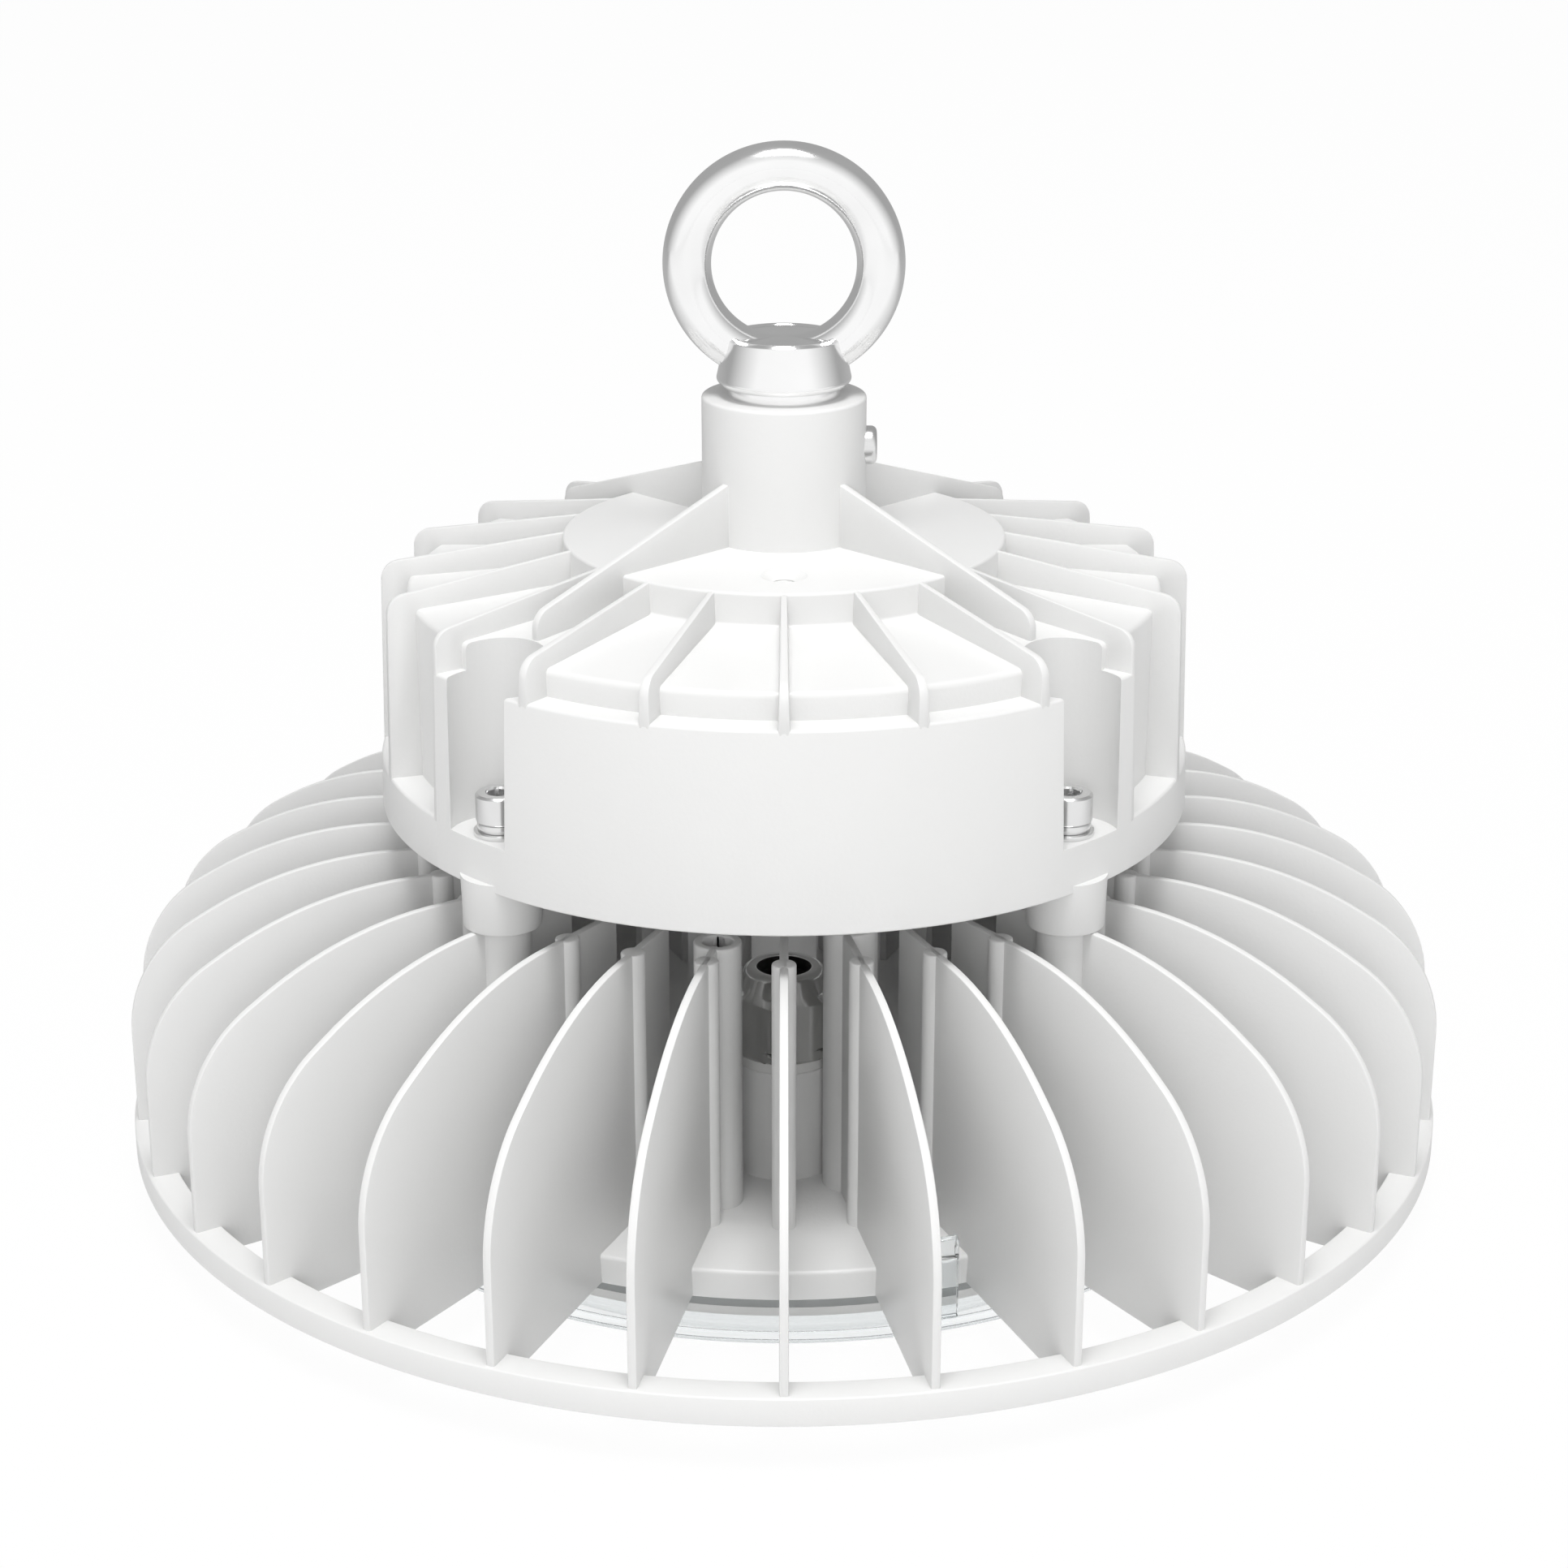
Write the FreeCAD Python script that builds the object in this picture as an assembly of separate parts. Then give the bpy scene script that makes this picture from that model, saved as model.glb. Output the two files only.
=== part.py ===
import FreeCAD, Part
import math
import os
from FreeCAD import Vector

# High bay light: a finned heatsink with its LED board and lens below, and a ribbed driver
# housing above, hung by an eye bolt. Millimetres, +Z up, front towards -Y. The origin is on
# the axis, at the underside of the lens cover. Angles are degrees from the front, towards +X.

# ---- driving dimensions -------------------------------------------------------------------
clearance = 0.1            # between a pin and its hole, all round
hole_spare = 2.0           # depth of a blind hole past what goes in it
seat_gap = 0.3             # between a cover and what it drops over

# lens cover and optic
lens_flange_lip = 2.8      # flange outside the clips' outer face
lens_flange_t = 1.5
lens_step_t = 0.5
window_border = 7.4        # base disc's edge outside the window
window_drop = 3.0
window_t = 2.5
gasket_t = 2.2
gasket_w = 5.0
optic_set_in = 5.1         # optic plate's edge inside the base disc's
optic_rim_w = 3.8
optic_h = 4.3
optic_t = 2.0
clip_count = 4
clip_angle = 16.9
clip_w = 14.0
clip_t = 2.0
clip_hook = 2.6
clip_rise = 6.5
clip_round = 1.5

# heatsink casting
base_r = 115.4
base_draft = 0.8
base_t = 7.8
ring_outer_r = 170.0
ring_w = 7.5
ring_h = 7.0
fin_count = 32
fin_t = 2.1
fin_inner_r = 74.0
fin_set_in = 1.0           # fin's outer edge inside the ring's
fin_h = 75.8
fin_slope_w = 42.8         # radial run of the slope between the crown and the shoulder
crown_round = 96.0
shoulder_corner_h = 51.0
shoulder_round = 34.0
post_d = 5.8
post_circle_r = 92.2
column_count = 4
column_angle = 45.0
column_d = 13.4
column_set_in = 7.66       # columns' circle inside the drum's edge
boss_d = 11.5
boss_hole_d = 7.1
boss_hole_depth = 20.0
boss_circle_r = 80.2
boss_angle = -11.25
pillar_d = 13.1
pillar_circle_r = 70.9
pillar_angle = 13.0
centre_post_d = 17.0
riser_d = 26.0
riser_h = 28.6
riser_circle_r = 56.0

# LED board
board_set_in = 12.4        # board's edge inside the base disc's
board_t = 1.6
pad_t = 0.5
recess_margin = 1.0
recess_depth = 4.0
chip_size = 3.0
chip_t = 0.7
chip_first_r = 30.0
chip_margin = 13.0         # outer ring of packages inside the board's edge
chip_ring_count = 4
chip_pitch = 15.7
wire_hole_d = 8.0
board_screw_count = 4
board_screw_angle = 22.5
board_screw_circle_r = 60.0
board_screw_d = 3.0
board_screw_head_d = 5.6
board_screw_head_h = 1.6
board_screw_l = 4.6
terminal_w = 11.0
terminal_l = 8.0
terminal_h = 2.2
terminal_circle_r = 40.0

# cable gland
gland_thread_d = 20.0
gland_thread_l = 9.0
gland_washer_d = 25.2
gland_washer_t = 2.4
gland_af = 24.0
gland_hex_t = 2.6
gland_turn = -13.0
gland_neck_d = 17.6
gland_neck_l = 9.0
cap_hex_h = 13.5
cap_chamfer = 1.0
cap_dome_h = 5.0
cap_top_d = 18.4
gland_mouth_d = 13.2
cap_lip_t = 3.4

# driver housing casting
housing_gap = 11.1
drum_r = 102.66
drum_draft = 0.0216
ledge_h = 49.1
rim_h = 13.1
wall_set_in = 8.16         # wall between the ribs, inside the drum's edge
wall_t = 3.0
shoulder_h = 55.6
terrace_h = 59.1
disc_r = 55.5
disc_h = 67.1
sector_half = 54.0
rib_pitch = 18.0
rib_top_t = 1.5
rib_slope = 0.18
rib_round = 5.0
ledge_rib_draft = 0.036
side_rib_draft = 0.014
root = 1.5                 # how far a rib is rooted in the wall behind it
stem_r = 20.42
stem_h = 35.0
stem_chamfer = 0.6
stem_rib_h = 16.2
stem_rib_end_r = 82.6
stem_rib_end_h = -4.2
stem_rib_t = 2.2
pocket_r = 12.0
pocket_floor_h = 11.8
pocket_wall = 2.6
foot_d = 18.8
foot_draft = 0.036
eye_thread_d = 16.0
eye_thread_l = 28.0
vent_circle_r = 40.0
vent_sink_d = 11.2
vent_sink_depth = 1.8
vent_hole_d = 5.7
vent_plug_tail = 2.0       # plug below the wall that it goes through

# driver, base plate and its seal
plate_t = 2.5
plate_set_in = 4.86        # plate's edge inside the drum's
driver_gasket_t = 1.0
driver_gasket_w = 5.0
plate_screw_count = 8
plate_screw_angle = 22.5
plate_screw_set_in = 3.2   # screws' circle inside the plate's edge
plate_screw_d = 3.0
plate_screw_head_d = 6.0
plate_screw_l = 9.0
plate_screw_land = 1.0     # plate left under the countersink
driver_w = 112.0
driver_d = 90.0
driver_h = 38.0
driver_round = 6.0
driver_gap = 2.5           # between the driver and the bush in front of it
bush_neck_d = 12.0
bush_flange_d = 17.0
bush_flange_t = 1.8
bush_bore_d = 7.0

# mounting screws and washers
screw_d = 6.0
screw_head_d = 11.3
screw_head_h = 7.1
screw_socket_af = 5.5
screw_socket_depth = 3.6
screw_chamfer = 0.6
screw_grip = 22.0
flat_washer_d = 12.5
flat_washer_t = 1.2
spring_washer_d = 10.8
spring_washer_t = 2.1
spring_washer_slit = 1.2
washer_chamfer = 0.45

# eye bolt and the screw that locks it
eye_inner_r = 17.75
eye_wire_d = 11.85
eye_sink = 0.4             # inner edge of the eye below the top of its collar
spigot_d = 28.1
spigot_h = 2.75
collar_h = 12.2
collar_max_d = 33.5
collar_top_d = 29.1
collar_foot_d = 31.4
collar_belly_h = 1.3
collar_lip = 0.8
collar_dish_r = 12.8
collar_dish = 0.4
lock_screw_h = -12.9
lock_head_d = 9.6
lock_head_h = 3.2
lock_head_round = 1.2
lock_screw_d = 5.0
lock_socket_af = 3.0
lock_socket_depth = 1.8
lock_seat_sink = 0.6

# ---- levels and places that follow --------------------------------------------------------
lens_step_r = base_r + seat_gap + clip_t
lens_flange_r = lens_step_r + lens_flange_lip
window_r = base_r - window_border
optic_rim_r = base_r - optic_set_in
board_r = base_r - board_set_in
chip_ring_step = (board_r - chip_margin - chip_first_r) / (chip_ring_count - 1)
ring_inner_r = ring_outer_r - ring_w
fin_outer_r = ring_outer_r - fin_set_in
crown_corner_r = fin_outer_r - fin_slope_w
wall_r = drum_r - wall_set_in
column_circle_r = drum_r - column_set_in
plate_r = drum_r - plate_set_in
plate_screw_circle_r = plate_r - plate_screw_set_in
heatsink_z = window_drop + lens_flange_t + gasket_t + optic_h
base_top_z = heatsink_z + base_t
fin_top_z = heatsink_z + fin_h
board_top_z = heatsink_z + recess_depth - pad_t
board_low_z = board_top_z - board_t
recess_r = board_r + recess_margin
drum_z = fin_top_z + housing_gap
pocket_floor_z = drum_z + pocket_floor_h
rim_top_z = drum_z + rim_h
ledge_z = drum_z + ledge_h
shoulder_z = drum_z + shoulder_h
terrace_z = drum_z + terrace_h
disc_z = drum_z + disc_h
stem_top_z = disc_z + stem_h
plate_top_z = drum_z + plate_t
plate_seat_z = plate_top_z + driver_gasket_t
riser_top_z = base_top_z + riser_h
gland_at = Vector(0, -riser_circle_r, 0)
driver_front_y = gland_at.y + bush_flange_d / 2 + driver_gap
eye_r = eye_inner_r + eye_wire_d / 2
collar_z = stem_top_z + spigot_h
collar_top_z = collar_z + collar_h
eye_z = collar_top_z - eye_sink + eye_inner_r
axis = Vector(0, 0, 1)
origin = Vector(0, 0, 0)


# ---- shape helpers ------------------------------------------------------------------------
def polar(radius, angle, z=0.0):
    """Point at a radius and an angle from the front."""
    turn = math.radians(angle)
    return Vector(radius * math.sin(turn), -radius * math.cos(turn), z)


def turned(shape, angle):
    """Copy of a shape turned about the light's axis."""
    copy = shape.copy()
    copy.rotate(origin, axis, angle)
    return copy


def around(shape, count, first=0.0):
    """Copies of a shape made at the front, spread evenly round the axis."""
    return [turned(shape, first + 360.0 * i / count) for i in range(count)]


def moved(shape, place):
    copy = shape.copy()
    copy.translate(place)
    return copy


def joined(shapes):
    """One solid from shapes that meet."""
    return shapes[0].multiFuse(shapes[1:]).removeSplitter()


def rod(radius, low, high, at=origin):
    return Part.makeCylinder(radius, high - low, Vector(at.x, at.y, low), axis)


def cone(low_radius, high_radius, low, high, at=origin):
    return Part.makeCone(low_radius, high_radius, high - low, Vector(at.x, at.y, low), axis)


def collar(inner, outer, low, high, at=origin):
    return rod(outer, low, high, at).cut(rod(inner, low, high, at))


def outline(corners):
    """Face in the front radial plane. A corner is (radius, height), or with a rounding after."""
    points = [Vector(0, -corner[0], corner[1]) for corner in corners]
    stops = []
    for i, corner in enumerate(corners):
        here = points[i]
        if len(corner) == 2:
            stops.append([here])
            continue
        back = (points[i - 1] - here).normalize()
        ahead = (points[(i + 1) % len(points)] - here).normalize()
        half = back.getAngle(ahead) / 2
        reach = corner[2] / math.tan(half)
        middle = (back + ahead).normalize() * (corner[2] / math.sin(half) - corner[2])
        stops.append([here + back * reach, here + middle, here + ahead * reach])
    edges = []
    for i, stop in enumerate(stops):
        if len(stop) == 3:
            edges.append(Part.Arc(*stop).toShape())
        edges.append(Part.LineSegment(stop[-1], stops[(i + 1) % len(stops)][0]).toShape())
    return Part.Face(Part.Wire(edges))


def lathe(corners, sweep=360.0):
    """Outline turned about the axis, centred on the front when it isn't a full turn."""
    solid = outline(corners).revolve(origin, axis, sweep)
    return solid if sweep == 360.0 else turned(solid, -sweep / 2)


def blade(corners, thickness):
    """Outline given a thickness, half on each side of the front radial plane."""
    face = outline(corners)
    face.translate(Vector(-thickness / 2, 0, 0))
    return face.extrude(Vector(thickness, 0, 0))


def hexagon(across_flats, low, high, at=origin, turn=0.0):
    """Hexagonal prism with a corner at the angle turn."""
    reach = across_flats / math.sqrt(3)
    corners = [polar(reach, turn + 60.0 * i, low) + Vector(at.x, at.y, 0) for i in range(6)]
    face = Part.Face(Part.makePolygon(corners + corners[:1]))
    return face.extrude(Vector(0, 0, high - low))


# ---- heatsink -----------------------------------------------------------------------------
def fin():
    return blade([(fin_inner_r, heatsink_z), (fin_inner_r, fin_top_z),
                  (crown_corner_r, fin_top_z, crown_round),
                  (fin_outer_r, heatsink_z + shoulder_corner_h, shoulder_round),
                  (fin_outer_r, heatsink_z)], fin_t)


def heatsink():
    """Base disc, outer ring, fins and all the round posts, cast as one."""
    pitch = 360.0 / fin_count
    column_first = round(column_angle / pitch)
    columns_every = fin_count // column_count
    post = rod(post_d / 2, heatsink_z, fin_top_z, polar(post_circle_r, 0))
    posts = [turned(post, pitch * i) for i in range(fin_count)
             if i % columns_every != column_first]
    column = rod(column_d / 2, heatsink_z, fin_top_z, polar(column_circle_r, 0))
    boss = rod(boss_d / 2, heatsink_z, fin_top_z, polar(boss_circle_r, 0))
    pillar = rod(pillar_d / 2, heatsink_z, fin_top_z, polar(pillar_circle_r, 0))
    solids = [cone(base_r - base_draft, base_r, heatsink_z, base_top_z)]
    solids += [collar(ring_inner_r, ring_outer_r, heatsink_z, heatsink_z + ring_h)]
    solids += around(fin(), fin_count)
    solids += posts
    solids += around(column, column_count, column_angle)
    solids += around(boss, column_count, boss_angle)
    solids += around(pillar, column_count, pillar_angle)
    solids += [rod(centre_post_d / 2, heatsink_z, fin_top_z)]
    solids += [rod(riser_d / 2, heatsink_z, riser_top_z, gland_at)]
    casting = joined(solids)

    recess_top_z = heatsink_z + recess_depth
    thread_low_z = riser_top_z - gland_thread_l - gland_washer_t
    screw_hole = rod(screw_d / 2 + clearance / 2, fin_top_z - screw_grip - hole_spare, fin_top_z,
                     polar(column_circle_r, 0))
    boss_hole = rod(boss_hole_d / 2, fin_top_z - boss_hole_depth, fin_top_z,
                    polar(boss_circle_r, 0))
    board_hole = rod(board_screw_d / 2 + clearance / 2, recess_top_z,
                     board_low_z + board_screw_l + clearance, polar(board_screw_circle_r, 0))
    cuts = [rod(recess_r, heatsink_z, recess_top_z)]
    cuts += [rod(wire_hole_d / 2, heatsink_z, riser_top_z, gland_at)]
    cuts += [rod(gland_thread_d / 2, thread_low_z, riser_top_z, gland_at)]
    cuts += around(screw_hole, column_count, column_angle)
    cuts += around(boss_hole, column_count, boss_angle)
    cuts += around(board_hole, board_screw_count, board_screw_angle)
    return casting.cut(cuts)


# ---- light source and lens ----------------------------------------------------------------
def board_sheet(low, high):
    """Round sheet with the board's wire hole and screw holes."""
    hole = rod(board_screw_d / 2 + clearance, low, high, polar(board_screw_circle_r, 0))
    holes = around(hole, board_screw_count, board_screw_angle)
    holes.append(rod(wire_hole_d / 2, low, high, gland_at))
    return rod(board_r, low, high).cut(holes)


def led_board():
    return board_sheet(board_low_z, board_top_z)


def thermal_pad():
    return board_sheet(board_top_z, board_top_z + pad_t)


def led_chips():
    """Square packages in rings on the underside of the board."""
    chips = []
    for ring in range(chip_ring_count):
        radius = chip_first_r + chip_ring_step * ring
        count = 4 * round(2 * math.pi * radius / chip_pitch / 4)
        place = Vector(-chip_size / 2, -radius - chip_size / 2, board_low_z - chip_t)
        chips += around(Part.makeBox(chip_size, chip_size, chip_t, place), count)
    return Part.makeCompound(chips)


def board_screws():
    at = polar(board_screw_circle_r, 0)
    head = rod(board_screw_head_d / 2, board_low_z - board_screw_head_h, board_low_z, at)
    shank = rod(board_screw_d / 2, board_low_z, board_low_z + board_screw_l, at)
    screw = joined([head, shank])
    return Part.makeCompound(around(screw, board_screw_count, board_screw_angle))


def terminal_block():
    place = Vector(-terminal_w / 2, -terminal_circle_r - terminal_l / 2, board_low_z - terminal_h)
    block = Part.makeBox(terminal_w, terminal_l, terminal_h, place)
    mouth_w = terminal_w / 4
    mouths = [Part.makeBox(mouth_w, terminal_l / 2, terminal_h / 2,
                           Vector(side * terminal_w / 4 - mouth_w / 2,
                                  -terminal_circle_r - terminal_l / 2,
                                  board_low_z - terminal_h * 3 / 4)) for side in (-1, 1)]
    return block.cut(mouths)


def optic_plate():
    """Clear plate under the LEDs, with the upstanding rim that meets the base."""
    low = heatsink_z - optic_h
    inner = optic_rim_r - optic_rim_w
    return lathe([(0, low), (optic_rim_r, low), (optic_rim_r, heatsink_z),
                  (inner, heatsink_z), (inner, low + optic_t), (0, low + optic_t)])


def lens_gasket():
    top = heatsink_z - optic_h
    return collar(optic_rim_r - gasket_w, optic_rim_r, top - gasket_t, top)


def lens_cover():
    """Clear cover: dished window, stepped flange and four hooked clips."""
    flange_low = window_drop
    flange_top = flange_low + lens_flange_t
    step_z = flange_top - lens_step_t
    body = lathe([(0, 0), (window_r, 0), (window_r, flange_low), (lens_flange_r, flange_low),
                  (lens_flange_r, step_z), (lens_step_r, step_z), (lens_step_r, flange_top),
                  (window_r - window_t, flange_top), (window_r - window_t, window_t),
                  (0, window_t)])
    inner = base_r + seat_gap
    hook_z = base_top_z + seat_gap
    clip = blade([(inner, step_z - lens_step_t), (inner + clip_t, step_z - lens_step_t),
                  (inner + clip_t, base_top_z + clip_rise, clip_round),
                  (inner, base_top_z + clip_rise, clip_round / 2),
                  (inner - clip_hook, hook_z + clip_rise / 3), (inner - clip_hook, hook_z),
                  (inner, hook_z)], clip_w)
    return joined([body] + around(clip, clip_count, clip_angle))


# ---- cable gland --------------------------------------------------------------------------
def gland_washer():
    return collar(gland_thread_d / 2 + clearance, gland_washer_d / 2,
                  riser_top_z, riser_top_z + gland_washer_t, gland_at)


def gland_body():
    hex_z = riser_top_z + gland_washer_t
    neck_z = hex_z + gland_hex_t
    solids = [rod(gland_thread_d / 2 - clearance, hex_z - gland_thread_l, hex_z, gland_at),
              hexagon(gland_af, hex_z, neck_z, gland_at, gland_turn),
              rod(gland_neck_d / 2, neck_z, neck_z + gland_neck_l, gland_at)]
    bore = rod(gland_mouth_d / 2, hex_z - gland_thread_l, neck_z + gland_neck_l, gland_at)
    return joined(solids).cut(bore)


def gland_cap_nut():
    """Hexagon cap with a chamfered top edge and a round dome over the seal."""
    low = riser_top_z + gland_washer_t + gland_hex_t
    dome_z = low + cap_hex_h
    top = dome_z + cap_dome_h
    reach = gland_af / math.sqrt(3)
    crown = outline([(0, low), (reach, low), (reach, dome_z - cap_chamfer),
                     (reach - 2 * cap_chamfer, dome_z), (gland_af / 2 - cap_chamfer, dome_z),
                     (cap_top_d / 2, top, cap_dome_h / 2), (0, top)])
    crown = moved(crown.revolve(origin, axis, 360), gland_at)
    blank = hexagon(gland_af, low, top, gland_at, gland_turn).common(crown)
    inside = rod(gland_neck_d / 2 + clearance, low, top - cap_lip_t, gland_at)
    mouth = rod(gland_mouth_d / 2, low, top, gland_at)
    return blank.cut([inside, mouth])


def gland_seal():
    low = riser_top_z + gland_washer_t + gland_hex_t + gland_neck_l
    high = riser_top_z + gland_washer_t + gland_hex_t + cap_hex_h + cap_dome_h - cap_lip_t
    return collar(gland_mouth_d / 2, gland_neck_d / 2, low, high, gland_at)


# ---- driver housing -----------------------------------------------------------------------
def drum_radius(z):
    """Outside of the drum, which narrows upwards by its draft."""
    return drum_r - drum_draft * (z - drum_z)


def drafted(face_blade, draft):
    """Thin a blade towards its top, so that it leaves the mould."""
    top_half = rib_top_t / 2
    low_half = top_half + draft * (disc_z - drum_z)
    section = Part.makePolygon([Vector(-low_half, 0, drum_z), Vector(low_half, 0, drum_z),
                                Vector(top_half, 0, disc_z), Vector(-top_half, 0, disc_z),
                                Vector(-low_half, 0, drum_z)])
    wedge = Part.Face(section).extrude(Vector(0, -drum_r - root, 0))
    return face_blade.common(wedge)


def housing_rib(foot_z, draft):
    """Radial rib from the top disc to the drum's outside, down to a ledge at foot_z."""
    corner_z = disc_z - rib_slope * (drum_radius(disc_z) - disc_r)
    face_blade = blade([(disc_r - root, disc_z),
                        (drum_radius(corner_z), corner_z, rib_round),
                        (drum_radius(foot_z - root), foot_z - root),
                        (wall_r - root, foot_z - root),
                        (wall_r - root, shoulder_z - root),
                        (disc_r - root, terrace_z - root)], 4 * rib_top_t)
    return drafted(face_blade, draft)


def stem_rib():
    """Diagonal rib from the stem down to the edge of a screw pocket."""
    slope = (terrace_z - shoulder_z) / (wall_r - disc_r)
    end_z = shoulder_z + slope * (wall_r - stem_rib_end_r) - root
    return blade([(stem_r - root, disc_z - root), (stem_r - root, disc_z + stem_rib_h),
                  (stem_rib_end_r, disc_z + stem_rib_end_h, rib_round),
                  (stem_rib_end_r, end_z),
                  (disc_r - root, terrace_z - root), (disc_r - root, disc_z - root)], stem_rib_t)


def pocket_copies(shape):
    return around(shape, column_count, column_angle)


def housing_cavity():
    """Space for the driver: stepped like the outside, and clear of the screw pockets."""
    inner_r = wall_r - wall_t
    upper_r = disc_r - wall_t
    space = joined([rod(inner_r, plate_seat_z, shoulder_z - wall_t),
                    rod(upper_r, plate_seat_z, disc_z - wall_t)])
    tower = rod(pocket_r + pocket_wall, plate_seat_z, shoulder_z, polar(column_circle_r, 0))
    recess = rod(plate_r + clearance, drum_z, plate_seat_z)
    foot = rod(foot_radius(drum_z), drum_z, plate_seat_z, polar(column_circle_r, 0))
    return [space.cut(pocket_copies(tower)), recess.cut(pocket_copies(foot))]


def foot_radius(z):
    """Mounting foot, widening upwards by its draft."""
    return foot_d / 2 + foot_draft * (z - fin_top_z)


def housing_ribs():
    """Ribs at an even pitch: short ones over the ledges, long ones over the side panels."""
    ledge_rib = housing_rib(ledge_z, ledge_rib_draft)
    side_rib = housing_rib(rim_top_z, side_rib_draft)
    ribs = []
    for i in range(round(360.0 / rib_pitch)):
        angle = rib_pitch * i
        from_ledge = min(angle % 180.0, 180.0 - angle % 180.0)
        ribs.append(turned(ledge_rib if from_ledge < sector_half - 1 else side_rib, angle))
    return ribs


def driver_housing():
    """Ribbed drum with a stepped top, a central stem, four screw pockets and four feet."""
    core = lathe([(0, drum_z), (wall_r, drum_z), (wall_r, shoulder_z), (disc_r, terrace_z),
                  (disc_r, disc_z), (0, disc_z)])
    rim = cone(drum_radius(drum_z), drum_radius(rim_top_z), drum_z, rim_top_z)
    sector = lathe([(wall_r - root, drum_z), (drum_radius(drum_z), drum_z),
                    (drum_radius(ledge_z), ledge_z), (wall_r - root, ledge_z)], 2 * sector_half)
    stem = rod(stem_r, disc_z - root, stem_top_z - stem_chamfer)
    stem_edge = cone(stem_r, stem_r - stem_chamfer, stem_top_z - stem_chamfer, stem_top_z)
    foot = cone(foot_radius(fin_top_z), foot_radius(drum_z), fin_top_z, drum_z,
                polar(column_circle_r, 0))
    body = joined([core, rim, sector, turned(sector, 180), stem, stem_edge])
    body = joined([body] + housing_ribs() + pocket_copies(stem_rib()) + pocket_copies(foot))

    pocket = rod(pocket_r, pocket_floor_z, disc_z, polar(column_circle_r, 0))
    screw_hole = rod(screw_d / 2 + 3 * clearance, fin_top_z, pocket_floor_z,
                     polar(column_circle_r, 0))
    plate_hole = rod(plate_screw_d / 2 + clearance / 2, plate_seat_z,
                     plate_top_z + plate_screw_l, polar(plate_screw_circle_r, 0))
    vent_at = polar(vent_circle_r, 0)
    lock_z = stem_top_z + lock_screw_h
    lock_seat = stem_r - lock_seat_sink
    cuts = housing_cavity()
    cuts += pocket_copies(pocket)
    cuts += pocket_copies(screw_hole)
    cuts += around(plate_hole, plate_screw_count, plate_screw_angle)
    cuts += [rod(eye_thread_d / 2, stem_top_z - eye_thread_l - hole_spare, stem_top_z)]
    cuts += [rod(vent_hole_d / 2, disc_z - wall_t, disc_z, vent_at)]
    cuts += [cone(vent_hole_d / 2, vent_sink_d / 2, disc_z - vent_sink_depth, disc_z, vent_at)]
    cuts += [Part.makeCylinder(lock_screw_d / 2, stem_r, Vector(0, 0, lock_z), Vector(1, 0, 0))]
    cuts += [Part.makeCylinder(lock_head_d / 2 + clearance, stem_r,
                               Vector(lock_seat, 0, lock_z), Vector(1, 0, 0))]
    return body.cut(cuts)


def vent_plug():
    """Small breather plug with a domed head at the bottom of the countersink."""
    low = disc_z - wall_t - vent_plug_tail
    top = disc_z - vent_sink_depth
    radius = vent_hole_d / 2 - clearance / 2
    plug = lathe([(0, low), (radius, low), (radius, top, vent_sink_depth / 2), (0, top)])
    return moved(plug, polar(vent_circle_r, 0))


# ---- driver and what closes the housing ---------------------------------------------------
def base_plate():
    foot_gap = rod(foot_radius(drum_z) + seat_gap, drum_z, plate_top_z,
                   polar(column_circle_r, 0))
    hole = rod(plate_screw_d / 2 + clearance, drum_z, plate_top_z,
               polar(plate_screw_circle_r, 0))
    sink = cone(plate_screw_head_d / 2, plate_screw_d / 2 + clearance, drum_z,
                drum_z + plate_t - plate_screw_land, polar(plate_screw_circle_r, 0))
    cuts = pocket_copies(foot_gap)
    cuts += around(hole, plate_screw_count, plate_screw_angle)
    cuts += around(sink, plate_screw_count, plate_screw_angle)
    cuts += [rod(bush_neck_d / 2, drum_z, plate_top_z, gland_at)]
    return rod(plate_r, drum_z, plate_top_z).cut(cuts)


def driver_gasket():
    foot_gap = rod(foot_radius(drum_z) + seat_gap, plate_top_z, plate_seat_z,
                   polar(column_circle_r, 0))
    hole = rod(plate_screw_d / 2 + clearance, plate_top_z, plate_seat_z,
               polar(plate_screw_circle_r, 0))
    inner_r = plate_r - driver_gasket_w
    ring = collar(inner_r, plate_r, plate_top_z, plate_seat_z)
    tower = rod(pocket_r + pocket_wall, plate_top_z, plate_seat_z, polar(column_circle_r, 0))
    pads = [shape.common(rod(plate_r, plate_top_z, plate_seat_z))
            for shape in pocket_copies(tower)]
    cuts = pocket_copies(foot_gap) + around(hole, plate_screw_count, plate_screw_angle)
    return joined([ring] + pads).cut(cuts)


def driver_plate_screws():
    at = polar(plate_screw_circle_r, 0)
    head = cone(plate_screw_head_d / 2 - clearance, plate_screw_d / 2, drum_z,
                drum_z + plate_t - plate_screw_land, at)
    shank = rod(plate_screw_d / 2, drum_z, drum_z + plate_screw_l, at)
    screw = joined([head, shank])
    return Part.makeCompound(around(screw, plate_screw_count, plate_screw_angle))


def driver_unit():
    """Potted driver: a block with rounded upright corners."""
    place = Vector(-driver_w / 2, driver_front_y, plate_top_z)
    block = Part.makeBox(driver_w, driver_d, driver_h, place)
    upright = [edge for edge in block.Edges if abs(edge.tangentAt(0).z) > 0.9]
    return block.makeFillet(driver_round, upright)


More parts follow.
